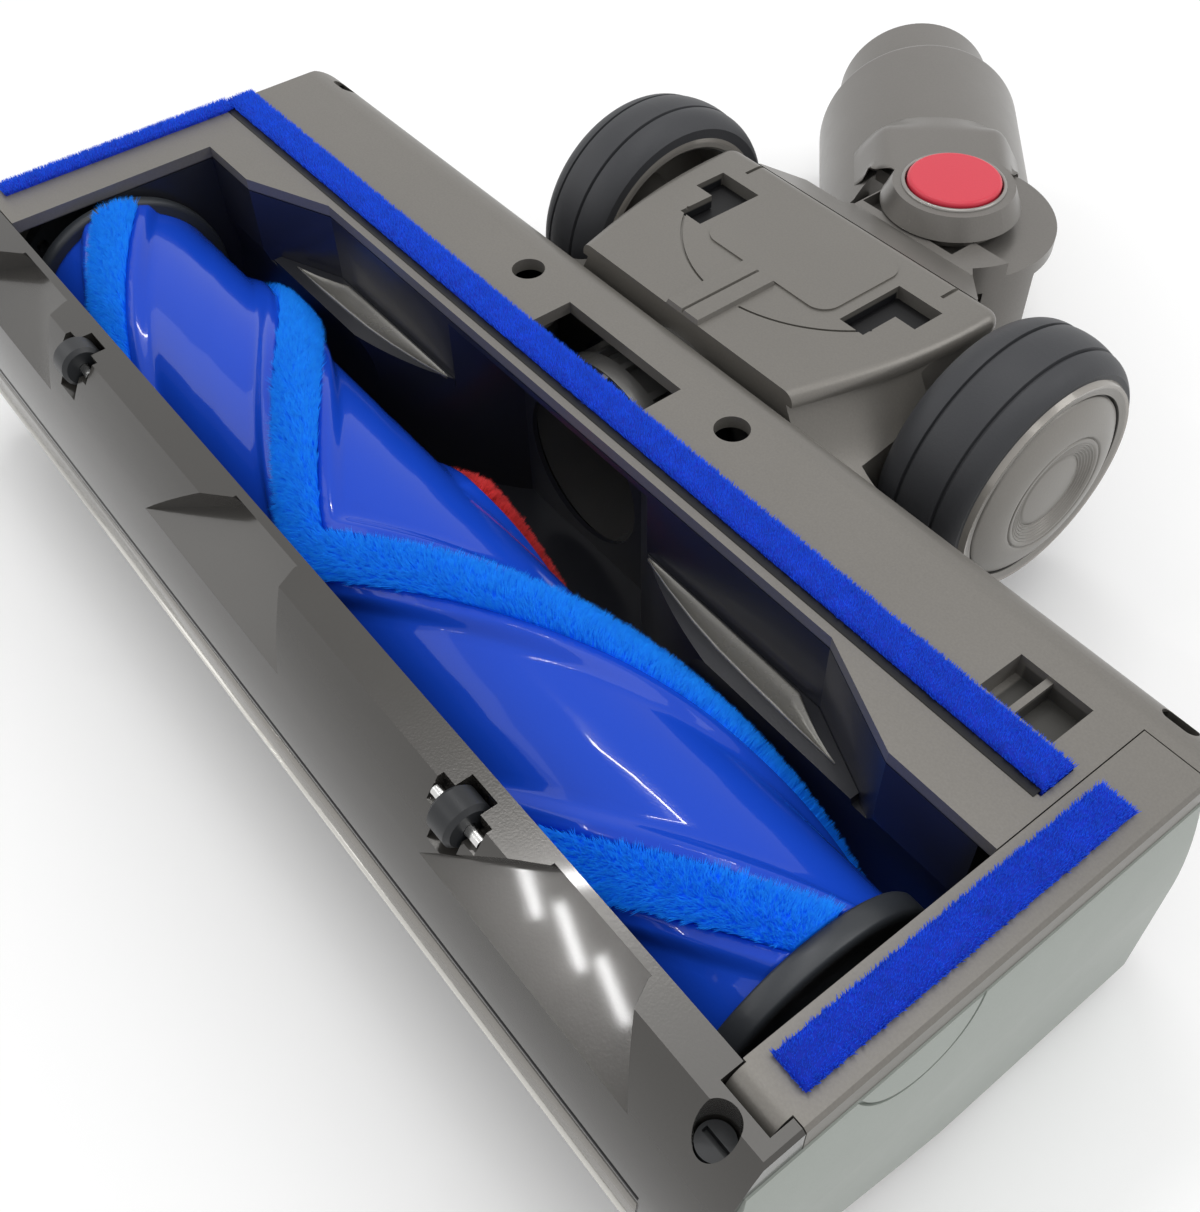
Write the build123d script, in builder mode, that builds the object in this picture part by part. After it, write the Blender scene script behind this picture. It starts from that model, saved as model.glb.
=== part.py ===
from build123d import *
import os
from math import asin, cos, degrees, hypot, radians, sin

# Powered floor head of a stick vacuum cleaner, lying on its back with the sole up.
# X runs along the brush, +Y points to the wheels and the neck, +Z points out of the sole.
# Z = 0 is the surface the head lies on; Y = 0 is the brush axis. All sizes in millimetres.

os.makedirs("parts", exist_ok=True)

# head shell
head_w = 245.0            # width between the two end faces, without the side panels
panel_t = 2.5             # thickness of each side panel
sole_z = 57.0             # height of the flat sole
wall = 2.4                # wall thickness of the shells
plate_t = 2.5             # thickness of the sole plate
seam = 0.2                # gap between neighbouring shells
lip_y = -18.5             # front edge of the brush mouth
lip_flat = 6.0            # width of the flat strip on the visor
foot_y = -34.5            # most forward line of the visor
foot_z = 27.0             # height of that line
rest_front_y = -8.0       # front end of the flat the head lies on
rear_y = 66.0             # rear wall of the head
heel_r = 12.0             # rounding of the rear wall into the rest flat
rear_round = 8.0          # rounding of the sole into the rear wall
plan_rear_r = 9.0         # corner rounding in plan, rear
plan_front_r = 5.0        # corner rounding in plan, front
end_round = 3.5           # rounding of the rest side at the two ends
end_rise = 26.0           # how far the rest side rises towards the front at the two ends
end_rise_w = 12.0         # width of each end over which it rises
rise_y = 28.5             # where the rise starts, seen from the side
skirt_z = 48.0            # lower edge of the sole plate's skirt
screw_x = 29.3            # sole screws
screw_y = 53.1
scoop_inset = 35.5        # outer scoops of the visor, from the ends of the head
scoop_w = 20.0            # width of a scoop at the lip
scoop_d = 3.8             # depth of a scoop at the lip
scoop_run = 12.1          # how far a scoop runs forward
scoop_fall = 6.9          # how far its floor falls on the way
scoop_splay_left = 18.3   # how far the sides of a scoop spread on the way
scoop_splay_right = 8.2
panel_top_z = 51.4        # upper edge of the side panels
panel_low_z = 2.0         # lower edge of the side panels

# brush mouth and chamber
mouth_inset = 14.2        # left end of the mouth, from the left end of the head
mouth_end_y = 26.1        # rear edge of the mouth at its ends
mouth_mid_y = 34.3        # rear edge of the mouth in the middle
step_inset = 30.5         # where the rear edge starts to step back, from the ends of the head
step_run = 19.5           # length of that slanting step
chamber_r = 27.2
chamber_t = 1.8
ledge_z = 37.5            # floor of the pocket behind the brush
shelf_t = 2.0
throat_r = 16.0           # air duct out of the chamber
liner_rear_y = 43.6
cap_w = 10.9              # width of the end cap
cap_rear_y = 56.2
nose_y = -21.8            # front of the nose with which the end cap hooks over the visor
nose_z = 50.0
nose_r = 3.2
nose_inset = 2.4
nose_w = 7.9
recess_inset = 6.6        # small square recess beside the end cap
recess_w = 13.0
recess_z = 52.6

# brush bar
brush_z = 32.0
core_r = 20.0
core_bore = 16.5
rail_r = 21.8             # top of the raised rails beside each strip
tip_r = 24.6              # bristle tips
strip_w = 8.0
rail_w = 3.0
twist = 1.6               # degrees of turn for each millimetre along the bar
hub_r = 22.5
hub_len = 7.5
hub_gap = 5.1             # room between the right hub and the end cap
stub_r = 4.0              # fixed axle on the end cap
stub_reach = 5.0          # how far the stub reaches into the right hub
spindle_r = 14.4          # round seat on the motor flange that carries the left end
motor_len = 65.0
motor_r = 14.6
shaft_r = 3.0
coupling_gap = 7.0        # from the motor body to the coupling
coupling_len = 9.5

# velvet strips
velvet_h = 2.2
velvet_y0 = 37.5
velvet_y1 = 43.5
velvet_front_y = -15.0
velvet_gap = 0.2          # play of a strip in its groove
groove_d = 1.0
left_velvet_w = 2.8       # groove of the left strip
left_velvet_inset = 0.9
end_velvet_w = 4.8        # groove of the strip on the end cap
end_velvet_inset = 3.7

# front rollers and coin lock
roller_x = 62.0
roller_y = -25.2
roller_r = 4.0
roller_w = 5.2
roller_pin_r = 1.0
lock_inset = 7.0
lock_y = -25.6
lock_r = 2.6
lock_foot_z = 46.0
lock_top_z = 51.0
lock_play = 0.3

# duct collar and carriage
collar_r = 20.0
collar_bore = 17.0
collar_z = 32.0
collar_front_y = 44.4
board_z = 6.0             # underside of the control board on its two posts
carriage_y = 66.7
plate_rear_y = 112.6
carriage_t = 2.8
cheek_gap = 0.6           # between the elbow's barrel and the cheeks
cheek_t = 5.8
front_wall_t = 4.3
plate_taper = 7.6         # how much narrower the plate is on each side at its front
plate_round = 2.2
fairing_w = 7.0           # how far the fairings reach past the inner face of the wheels
fairing_r = 22.0          # hollow of the fairings
fairing_turn = 16.0       # angle by which that hollow turns away from the middle
wheel_play = 1.6          # free space round the wheels

# wheels
axle_y = 102.5
axle_z = 36.5
axle_r = 3.0
wheel_gap = 5.6           # from the cheeks to the wheels
wheel_w = 19.5
wheel_r = 26.5
tyre_t = 4.6

# neck
pivot_y = 140.5
drum_r = 22.6
drum_top_z = 46.4
drum_bottom_z = 8.0
arm_w = 60.0
tube_turn = 46.0          # heading of the tube in the modelled pose
tube_z = 24.6
tube_r = 24.5
tube_start = 14.0         # near end of the tube, from the swivel axis
tube_len = 69.5
spigot_r = 19.15
spigot_bore = 16.6
spigot_len = 89.6
bore_start = 40.0         # inner end of the full bore
pin_r = 4.0
boss_r = 14.6
boss_top_r = 12.6
boss_z = 54.4
boss_foot_z = 49.8
yoke_r = 11.8             # round end of the upper cheek below the boss
yoke_w = 22.0
yoke_len = 28.0
tongue_z = 49.4           # raised front of the drum, in front of the boss
tongue_y = 125.4
tongue_rear_y = 134.0
pocket_w = 25.0           # square pocket in which the boss turns
pocket_y = 127.5
duct_w = 40.0             # air duct through the elbow
duct_z0 = 26.0
duct_z1 = 43.0
drum_wall = 3.0
button_r = 9.7
button_top_z = 55.7
button_travel = 2.0
run_fit = 0.05            # running clearance of shafts in their bores

half = head_w / 2
crest_y = lip_y - lip_flat
ceiling_z = sole_z - plate_t
cap_x = half - cap_w
mouth_left_x = mouth_inset - half
mouth_step_x1 = half - step_inset
mouth_step_x0 = mouth_step_x1 - step_run
end_rise_x = half - end_rise_w
core_half = cap_x - hub_gap - hub_len
motor_x = motor_len - core_half
coupling_x0 = motor_x + coupling_gap
coupling_x1 = coupling_x0 + coupling_len
lock_x = half - lock_inset
recess_x1 = cap_x - recess_inset
recess_x0 = recess_x1 - recess_w
nose_x1 = half - nose_inset
nose_x0 = nose_x1 - nose_w
end_velvet_x1 = half - end_velvet_inset
end_velvet_x0 = end_velvet_x1 - end_velvet_w
left_velvet_x0 = left_velvet_inset - half
left_velvet_x1 = left_velvet_x0 + left_velvet_w
rear_velvet_x1 = cap_x - 1.9
board_x0 = screw_x + 10.7
board_x1 = cap_x - 7.6
cheek_x0 = arm_w / 2 + cheek_gap
cheek_x1 = cheek_x0 + cheek_t
wheel_x0 = cheek_x1 + wheel_gap
wheel_x1 = wheel_x0 + wheel_w
plate_x1 = cheek_x1 + 1.0
plate_x0 = plate_x1 - plate_taper
front_wall_y = carriage_y + front_wall_t
slot_x1 = cheek_x0 - 0.3
slot_x0 = slot_x1 - 10.8


def bulge(p, q, height):
    """Middle point of an arc from p to q that swells to the left by a height."""
    dx = q[0] - p[0]
    dy = q[1] - p[1]
    run = hypot(dx, dy)
    return ((p[0] + q[0]) / 2 - dy / run * height, (p[1] + q[1]) / 2 + dx / run * height)


def head_profile(x, inset=0.0):
    """Side outline of the head on the plane at x, moved inwards by the inset."""
    crest = (crest_y, sole_z)
    rest_front = (rest_front_y, 0)
    foot_low = (foot_y, foot_z - 2.0)
    foot = (foot_y, foot_z)
    with BuildSketch(Plane.YZ.offset(x)) as sketch:
        with BuildLine():
            Line(crest, (rear_y - rear_round, sole_z))
            TangentArc((rear_y - rear_round, sole_z), (rear_y, sole_z - rear_round), tangent=(1, 0))
            Line((rear_y, sole_z - rear_round), (rear_y, heel_r))
            TangentArc((rear_y, heel_r), (rear_y - heel_r, 0), tangent=(0, -1))
            Line((rear_y - heel_r, 0), rest_front)
            ThreePointArc(rest_front, bulge(rest_front, foot_low, 3.0), foot_low)
            Line(foot_low, foot)
            ThreePointArc(foot, bulge(foot, crest, 2.6), crest)
        make_face()
        if inset > 0:
            offset(amount=-inset)
    return sketch.sketch


def rise_sections(side, lift):
    """Two triangles between which the rest side is cut away towards the front at one end."""
    sections = []
    for x, height in ((end_rise_x, 0.0), (half + 3.0, end_rise + 1.5)):
        with BuildSketch(Plane.YZ.offset(side * x)) as sketch:
            with BuildLine():
                Polyline(
                    (rise_y, lift - 1.5),
                    (foot_y - 2, lift - 1.5 + height),
                    (foot_y - 2, -4.0),
                    (rise_y, -4.0),
                    close=True,
                )
            make_face()
        sections.append(sketch.sketch)
    return sections


def block(x0, x1, y0, y1, z0, z1, mode=Mode.ADD):
    """A box given by its limits, added to or cut from the part being built."""
    with Locations(((x0 + x1) / 2, (y0 + y1) / 2, (z0 + z1) / 2)):
        Box(abs(x1 - x0), abs(y1 - y0), abs(z1 - z0), mode=mode)


def disc_x(x0, x1, y, z, r, mode=Mode.ADD):
    """A cylinder along X between two positions."""
    with Locations(Location(((x0 + x1) / 2, y, z), (0, 90, 0))):
        Cylinder(r, abs(x1 - x0), mode=mode)


def disc_y(y0, y1, x, z, r, mode=Mode.ADD):
    """A cylinder along Y between two positions."""
    with Locations(Location((x, (y0 + y1) / 2, z), (90, 0, 0))):
        Cylinder(r, abs(y1 - y0), mode=mode)


def disc_z(z0, z1, x, y, r, mode=Mode.ADD):
    """A cylinder along Z between two heights."""
    with Locations((x, y, (z0 + z1) / 2)):
        Cylinder(r, abs(z1 - z0), mode=mode)


# The full outer form of the head; every shell below is a piece of it.
with BuildPart() as envelope:
    extrude(head_profile(-half), amount=head_w)
    with BuildSketch(Plane.XY) as plan:
        with Locations((0, (foot_y + rear_y) / 2)):
            Rectangle(head_w, rear_y - foot_y + 0.8)
        fillet(plan.vertices().group_by(Axis.Y)[-1], plan_rear_r)
        fillet(plan.vertices().group_by(Axis.Y)[0], plan_front_r)
    extrude(amount=sole_z, mode=Mode.INTERSECT)
    with BuildSketch(Plane.XZ) as front:
        with Locations((0, sole_z / 2)):
            Rectangle(head_w, sole_z)
        fillet(front.vertices().group_by(Axis.Y)[0], end_round)
        chamfer(front.vertices().group_by(Axis.Y)[-1], 0.6)
    extrude(amount=2 * rear_y, both=True, mode=Mode.INTERSECT)
    for side in (-1, 1):
        loft(rise_sections(side, 0.0), ruled=True, mode=Mode.SUBTRACT)

# The hollow inside the shells.
with BuildPart() as hollow:
    extrude(head_profile(-half, wall), amount=head_w)
    with BuildSketch(Plane.XY) as plan_in:
        with Locations((0, (foot_y + rear_y) / 2)):
            Rectangle(head_w - 2 * wall, rear_y - foot_y - 2 * wall + 0.8)
        fillet(plan_in.vertices().group_by(Axis.Y)[-1], plan_rear_r - wall)
        fillet(plan_in.vertices().group_by(Axis.Y)[0], plan_front_r - wall)
    extrude(amount=sole_z, mode=Mode.INTERSECT)
    with BuildSketch(Plane.XZ) as front_in:
        with Locations((0, (sole_z + wall) / 2)):
            Rectangle(head_w - 2 * wall, sole_z - wall)
        fillet(front_in.vertices().group_by(Axis.Y)[0], end_round - wall)
    extrude(amount=2 * rear_y, both=True, mode=Mode.INTERSECT)
    for side in (-1, 1):
        loft(rise_sections(side, wall + 0.4), ruled=True, mode=Mode.SUBTRACT)

# The brush mouth in plan: it steps forward towards both ends.
with BuildPart() as mouth:
    with BuildSketch(Plane.XY):
        with BuildLine():
            Polyline(
                (mouth_left_x, lip_y),
                (cap_x + 10, lip_y),
                (cap_x + 10, mouth_end_y),
                (mouth_step_x1, mouth_end_y),
                (mouth_step_x0, mouth_mid_y),
                (-mouth_step_x0, mouth_mid_y),
                (-mouth_step_x1, mouth_end_y),
                (mouth_left_x, mouth_end_y),
                close=True,
            )
        make_face()
    extrude(amount=sole_z + 1)

# Bell-shaped funnel that gathers the air into the duct, in plan.
with BuildPart() as funnel:
    with BuildSketch(Plane.XY.offset(brush_z - throat_r - 3)):
        with BuildLine():
            Spline((-88, 22), (-54, 26.2), (-31, 33.6), (-throat_r - 2, liner_rear_y - 1))
            Line((-throat_r - 2, liner_rear_y - 1), (throat_r + 2, liner_rear_y - 1))
            Spline((throat_r + 2, liner_rear_y - 1), (31, 33.6), (54, 26.2), (88, 22))
            Line((88, 22), (88, 0))
            Line((88, 0), (-88, 0))
            Line((-88, 0), (-88, 22))
        make_face()
    extrude(amount=40)

# Right end wall of the housing, open towards the brush.
wall_x0 = cap_x - seam - wall
with BuildPart() as end_wall:
    add(hollow.part)
    block(wall_x0, cap_x - seam, lip_y + seam, rear_y, 0, skirt_z - seam, Mode.INTERSECT)
    disc_x(wall_x0 - 1, cap_x, 0, brush_z, chamber_r + chamber_t + 0.3, Mode.SUBTRACT)
    block(wall_x0 - 1, cap_x, -32, liner_rear_y, brush_z, sole_z, Mode.SUBTRACT)

# Main housing: the tray that forms the upper side in use, with screw bosses and the right end wall.
with BuildPart() as main_housing:
    add(envelope.part)
    block(-half - 1, half + 1, foot_y - 1, rear_y + 1, skirt_z - seam, sole_z + 1, Mode.SUBTRACT)
    block(-half - 1, half + 1, foot_y - 1, lip_y + seam, foot_z - seam, sole_z, Mode.SUBTRACT)
    block(cap_x - seam, half + 1, lip_y, cap_rear_y + seam, -1, sole_z, Mode.SUBTRACT)
    add(hollow.part, mode=Mode.SUBTRACT)
    add(end_wall.part)
    disc_y(rear_y - wall - 1, rear_y + 1, 0, collar_z, collar_r + 0.3, Mode.SUBTRACT)
    for side in (-1, 1):
        disc_z(1.0, skirt_z - 2, side * screw_x, screw_y, 5.0)
        disc_z(20.0, sole_z, side * screw_x, screw_y, 1.5 + run_fit, Mode.SUBTRACT)
    for post_x in (board_x0 + 4.0, board_x1 - 4.0):
        disc_z(1.0, board_z, post_x, 52.0, 2.5)

# Sole plate: the flat grey plate with the brush mouth, grooves, windows and screw holes.
with BuildPart() as sole_plate:
    add(envelope.part)
    block(-half - 1, half + 1, foot_y - 1, rear_y + 1, -1, skirt_z, Mode.SUBTRACT)
    block(-half - 1, half + 1, foot_y - 1, lip_y + seam, skirt_z - 1, sole_z + 1, Mode.SUBTRACT)
    block(cap_x - seam, half + 1, lip_y, cap_rear_y + seam, skirt_z - 1, sole_z + 1, Mode.SUBTRACT)
    block(-half + wall, cap_x, foot_y, rear_y - wall, skirt_z - 1, ceiling_z, Mode.SUBTRACT)
    block(cap_x - 5, half - wall, cap_rear_y + wall, rear_y - wall, skirt_z - 1, ceiling_z, Mode.SUBTRACT)
    add(mouth.part, mode=Mode.SUBTRACT)
    disc_y(rear_y - wall - 1, rear_y + 1, 0, collar_z, collar_r + 0.3, Mode.SUBTRACT)
    # tray of the small square recess beside the end cap
    block(recess_x0 - 1.6, recess_x1 + 1.6, 43.9, 55.1, recess_z - 1.6, ceiling_z)
    block(recess_x0, recess_x1, 44.6, 53.5, recess_z, sole_z + 1, Mode.SUBTRACT)
    block(recess_x0 + 4.9, recess_x0 + 6.1, 44.6, 53.5, recess_z, sole_z - 0.8)
    # window over the duct collar
    block(-16.0, 16.0, velvet_y1 + 0.6, 53.0, skirt_z, sole_z + 1, Mode.SUBTRACT)
    # grooves that hold the velvet
    groove_z = sole_z - groove_d
    groove_front_y = velvet_y0 - 0.8
    block(left_velvet_x0, rear_velvet_x1, groove_front_y, velvet_y1, groove_z, sole_z + 1, Mode.SUBTRACT)
    block(left_velvet_x0, left_velvet_x1, velvet_front_y, groove_front_y, groove_z, sole_z + 1, Mode.SUBTRACT)
    for side in (-1, 1):
        disc_z(skirt_z, sole_z + 1, side * screw_x, screw_y, 3.2, Mode.SUBTRACT)
        with BuildSketch(Plane.XY.offset(skirt_z + 2)):
            with Locations((side * (half - plan_rear_r), rear_y - 3.6)):
                SlotOverall(6.0, 3.0)
        extrude(amount=20, mode=Mode.SUBTRACT)

# Front visor: the glossy lip with three scoops, two roller recesses and the lock socket.
with BuildPart() as front_visor:
    add(envelope.part)
    block(-half - 1, half + 1, foot_y - 1, lip_y, -1, foot_z, Mode.SUBTRACT)
    block(-half - 1, half + 1, lip_y, rear_y + 1, -1, sole_z + 1, Mode.SUBTRACT)
    disc_x(mouth_left_x - 1.7, cap_x - seam, 0, brush_z, chamber_r, Mode.SUBTRACT)
    with BuildSketch(Plane.YZ.offset(-half + wall)):
        with BuildLine():
            Polyline(
                (lip_y + 1, foot_z - 1),
                (foot_y + wall, foot_z - 1),
                (foot_y + wall, foot_z),
                (foot_y + wall + 2.4, 42.0),
                (lip_y + 1, 42.0),
                close=True,
            )
        make_face()
    extrude(amount=wall_x0 + 0.2 + half - wall, mode=Mode.SUBTRACT)
    # each scoop is a flat floor that falls away from the lip and spreads as it runs out
    for scoop_x in (scoop_inset - half, 0.0, half - scoop_inset):
        floor_plane = Plane(
            origin=(scoop_x, lip_y, sole_z - scoop_d),
            x_dir=(1, 0, 0),
            z_dir=(0, -scoop_fall, scoop_run),
        )
        reach = 1.3 * hypot(scoop_run, scoop_fall)
        with BuildSketch(floor_plane):
            with BuildLine():
                Polyline(
                    (-scoop_w / 2, 0.5),
                    (scoop_w / 2, 0.5),
                    (scoop_w / 2, 0),
                    (scoop_w / 2 + 1.3 * scoop_splay_right, -reach),
                    (-scoop_w / 2 - 1.3 * scoop_splay_left, -reach),
                    (-scoop_w / 2, 0),
                    close=True,
                )
            make_face()
        extrude(amount=scoop_run, mode=Mode.SUBTRACT)
    for side in (-1, 1):
        x = side * roller_x
        gap = roller_w / 2 + 0.4
        block(x - gap, x + gap, roller_y - 5.4, roller_y + 4.6, 49.4, sole_z + 1, Mode.SUBTRACT)
        block(x - 5.8, x + 5.8, roller_y - 1.7, roller_y + 1.7, 53.6, sole_z + 1, Mode.SUBTRACT)
    disc_z(lock_foot_z, sole_z + 1, lock_x, lock_y, lock_r + lock_play, Mode.SUBTRACT)
    block(nose_x0 - 0.3, nose_x1 + 0.3, nose_y - 0.3, lip_y + 1, nose_z - 0.3, sole_z + 1, Mode.SUBTRACT)

# The hollow inside the end cap.
with BuildPart() as cap_hollow:
    add(hollow.part)
    block(cap_x - 1, half - wall, lip_y + seam + wall, cap_rear_y - wall, 0, ceiling_z, Mode.INTERSECT)

# Rounded nose with which the end cap hooks over the visor.
with BuildPart() as cap_nose:
    block(nose_x0, nose_x1, nose_y, lip_y + 2, nose_z, sole_z)
    fillet(cap_nose.edges().filter_by(Axis.X).group_by(Axis.Z)[-1].sort_by(Axis.Y)[0], nose_r)

# End cap with the fixed stub axle; it closes the right end of the brush chamber.
with BuildPart() as end_cap:
    add(envelope.part)
    block(-half - 1, cap_x, foot_y - 1, rear_y + 1, -1, sole_z + 1, Mode.SUBTRACT)
    block(-half, half + 1, foot_y - 1, lip_y + seam, -1, sole_z + 1, Mode.SUBTRACT)
    block(-half, half + 1, cap_rear_y, rear_y + 1, -1, sole_z + 1, Mode.SUBTRACT)
    add(cap_hollow.part, mode=Mode.SUBTRACT)
    disc_x(cap_x, half - wall, 0, brush_z, 8.0)
    disc_x(core_half + hub_len - stub_reach, half - wall, 0, brush_z, stub_r)
    add(cap_nose.part)
    block(end_velvet_x0, end_velvet_x1, velvet_front_y, velvet_y1 + 0.2, groove_z, sole_z + 1, Mode.SUBTRACT)

# Light grey side panels that finish both ends; they swell outwards below the dark band.
panel_front_y = foot_y + plan_front_r + 0.1
panel_rear_y = rear_y - plan_rear_r - 0.5
with BuildPart() as side_panel:
    with BuildSketch(Plane.XZ):
        with BuildLine():
            Line((half, panel_top_z), (half + 0.3, panel_top_z))
            ThreePointArc((half + 0.3, panel_top_z), (half + 0.8 * panel_t, 41.0), (half + panel_t, 30.0))
            Line((half + panel_t, 30.0), (half + panel_t, 8.0))
            ThreePointArc((half + panel_t, 8.0), (half + 0.8 * panel_t, 4.2), (half + 0.4, panel_low_z))
            Line((half + 0.4, panel_low_z), (half, panel_low_z))
            Line((half, panel_low_z), (half, panel_top_z))
        make_face()
    extrude(amount=rear_y - foot_y, both=True)
    with BuildSketch(Plane.YZ.offset(half)):
        with BuildLine():
            nose_low = (panel_front_y, end_rise - 4.0)
            rest_low = (rise_y, panel_low_z)
            Polyline(
                rest_low,
                (panel_rear_y - 4, panel_low_z),
                (panel_rear_y, panel_low_z + 4),
                (panel_rear_y, panel_top_z),
                (panel_front_y + 2, panel_top_z),
                (panel_front_y, panel_top_z - 5.4),
                nose_low,
            )
            ThreePointArc(nose_low, bulge(nose_low, rest_low, -1.8), rest_low)
        make_face()
    extrude(amount=panel_t, mode=Mode.INTERSECT)

# The right panel goes with the end cap; a curved parting line marks its pull tab.
with BuildPart() as end_cap_panel:
    add(side_panel.part)
    with BuildSketch(Plane.YZ.offset(half + 0.15)):
        with BuildLine():
            ThreePointArc((13.3, panel_top_z + 0.6), (1.5, panel_top_z - 6.8), (-9.9, panel_top_z + 0.6))
            Line((-9.9, panel_top_z + 0.6), (-9.3, panel_top_z + 0.6))
            ThreePointArc((-9.3, panel_top_z + 0.6), (1.5, panel_top_z - 6.3), (12.7, panel_top_z + 0.6))
            Line((12.7, panel_top_z + 0.6), (13.3, panel_top_z + 0.6))
        make_face()
    extrude(amount=panel_t, mode=Mode.SUBTRACT)

with BuildPart() as left_side_panel:
    add(mirror(side_panel.part, about=Plane.YZ))

# Chamber liner: the black trough behind and around the brush, with funnel and duct.
with BuildPart() as chamber_liner:
    with BuildSketch(Plane.YZ.offset(mouth_left_x - 1.7)):
        with Locations((0, brush_z)):
            Circle(chamber_r + chamber_t)
        with Locations((liner_rear_y / 2, (ceiling_z + brush_z - chamber_r - chamber_t) / 2 - 0.1)):
            Rectangle(liner_rear_y, ceiling_z - brush_z + chamber_r + chamber_t - 0.2)
        with Locations((-20, sole_z)):
            Rectangle(40, 2 * (sole_z - 41.6), mode=Mode.SUBTRACT)
        with Locations((0, ceiling_z + 9.8)):
            Rectangle(120, 20, mode=Mode.SUBTRACT)
    extrude(amount=wall_x0 + 1.7 - mouth_left_x - 0.2)
    disc_x(mouth_left_x, wall_x0 + 1, 0, brush_z, chamber_r, Mode.SUBTRACT)
    with BuildSketch(Plane.XY.offset(ledge_z)):
        with BuildLine():
            Polyline(
                (mouth_left_x, 0),
                (cap_x, 0),
                (cap_x, mouth_end_y),
                (mouth_step_x1, mouth_end_y),
                (mouth_step_x0, mouth_mid_y),
                (-mouth_step_x0, mouth_mid_y),
                (-mouth_step_x1, mouth_end_y),
                (mouth_left_x, mouth_end_y),
                close=True,
            )
        make_face()
    extrude(amount=sole_z, mode=Mode.SUBTRACT)
    for side in (-1, 1):
        hole_x = side * (-mouth_left_x - 2.3)
        hole_y = liner_rear_y - 2
        block(side * 38, hole_x, mouth_mid_y + 2, hole_y, 0, ceiling_z - 2, Mode.SUBTRACT)
        block(side * 62, hole_x, 31.0, hole_y, 0, ledge_z - 2, Mode.SUBTRACT)
    add(funnel.part, mode=Mode.SUBTRACT)
    disc_y(20, liner_rear_y + 1, 0, collar_z, throat_r, Mode.SUBTRACT)
    disc_x(mouth_left_x - 3, mouth_left_x + 1, 0, brush_z, 15.0, Mode.SUBTRACT)

# Grey shelves on the pocket floor, cut by the funnel to two lens shapes.
with BuildPart() as chamber_shelf:
    with BuildSketch(Plane.XY.offset(ledge_z)):
        with BuildLine():
            Polyline(
                (-mouth_step_x0 - 15, mouth_mid_y - 6.4),
                (-mouth_step_x0 - 15, 24.6),
                (mouth_step_x0 + 15, 24.6),
                (mouth_step_x0 + 15, mouth_mid_y - 6.4),
                (mouth_step_x0, mouth_mid_y - 0.1),
                (-mouth_step_x0, mouth_mid_y - 0.1),
                close=True,
            )
        make_face()
    extrude(amount=shelf_t)
    add(funnel.part, mode=Mode.SUBTRACT)
    disc_x(-half, half, 0, brush_z, chamber_r, Mode.SUBTRACT)

# Velvet strips, standing proud of the sole.
velvet_top_z = sole_z + velvet_h
with BuildPart() as rear_velvet:
    block(
        left_velvet_x0 + velvet_gap, rear_velvet_x1 - velvet_gap,
        velvet_y0, velvet_y1, groove_z, velvet_top_z,
    )
    chamfer(rear_velvet.faces().sort_by(Axis.Z)[-1].edges(), 0.8)

with BuildPart() as end_velvet:
    block(
        end_velvet_x0 + velvet_gap, end_velvet_x1 - velvet_gap,
        velvet_front_y + velvet_gap, velvet_y1, groove_z, velvet_top_z,
    )
    chamfer(end_velvet.faces().sort_by(Axis.Z)[-1].edges(), 0.8)

with BuildPart() as left_velvet:
    block(
        left_velvet_x0 + velvet_gap, left_velvet_x1 - velvet_gap,
        velvet_front_y + velvet_gap, velvet_y0 - 1.0, groove_z, velvet_top_z,
    )
    chamfer(left_velvet.faces().sort_by(Axis.Z)[-1].edges(), 0.8)

# Sole screws in the two round holes.
with BuildPart() as sole_screws:
    for side in (-1, 1):
        disc_z(skirt_z - 2, skirt_z + 0.4, side * screw_x, screw_y, 2.8)
        disc_z(30.0, skirt_z - 2, side * screw_x, screw_y, 1.5)
        for long, wide in ((1.9, 0.4), (0.4, 1.9)):
            block(
                side * screw_x - long, side * screw_x + long,
                screw_y - wide, screw_y + wide, skirt_z - 0.6, skirt_z + 1, Mode.SUBTRACT,
            )

# Brush motor inside the hollow core, held on the left end wall of the head.
with BuildPart() as brush_motor:
    disc_x(-core_half, motor_x, 0, brush_z, motor_r)
    disc_x(motor_x, coupling_x0 - 1.0, 0, brush_z, 9.0)
    disc_x(coupling_x0 - 1.0, coupling_x1 + 0.5, 0, brush_z, shaft_r)
    chamfer(brush_motor.edges().filter_by(GeomType.CIRCLE).sort_by(SortBy.RADIUS)[-2:], 1.0)

with BuildPart() as motor_flange:
    disc_x(-half + wall, -core_half, 0, brush_z, spindle_r)
    disc_x(-half + wall, -half + wall + 3.0, 0, brush_z, 20.0)
    for angle in (45, 135, 225, 315):
        hole_y = 17.4 * cos(radians(angle))
        hole_z = brush_z + 17.4 * sin(radians(angle))
        disc_x(-half, -half + wall + 4.0, hole_y, hole_z, 1.4, Mode.SUBTRACT)

with BuildPart() as control_board:
    block(board_x0, board_x1, 45.6, 58.6, board_z, board_z + 1.6)
    block(board_x0 + 8.0, board_x0 + 20.0, 47.0, 57.0, board_z + 1.6, board_z + 7.0)
    block(board_x0 + 26.0, board_x0 + 34.0, 48.0, 56.0, board_z + 1.6, board_z + 4.0)
    disc_z(board_z + 1.6, board_z + 12.0, board_x1 - 20.0, 52.0, 4.0)
    block(board_x1 - 12.0, board_x1 - 3.0, 47.0, 57.0, board_z + 1.6, board_z + 8.0)

# Brush bar: hollow core with three V-shaped channels between raised rails.
strip_starts = {"bristle_strip_blue_a": -42.0, "bristle_strip_red": 78.0, "bristle_strip_blue_b": -162.0}
strip_half = degrees(asin(strip_w / 2 / core_r))
rail_half = degrees(asin((strip_w / 2 + rail_w) / core_r))
channel_r = core_r - 1.2
stations = [core_half * i / 8 for i in range(9)]


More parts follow.
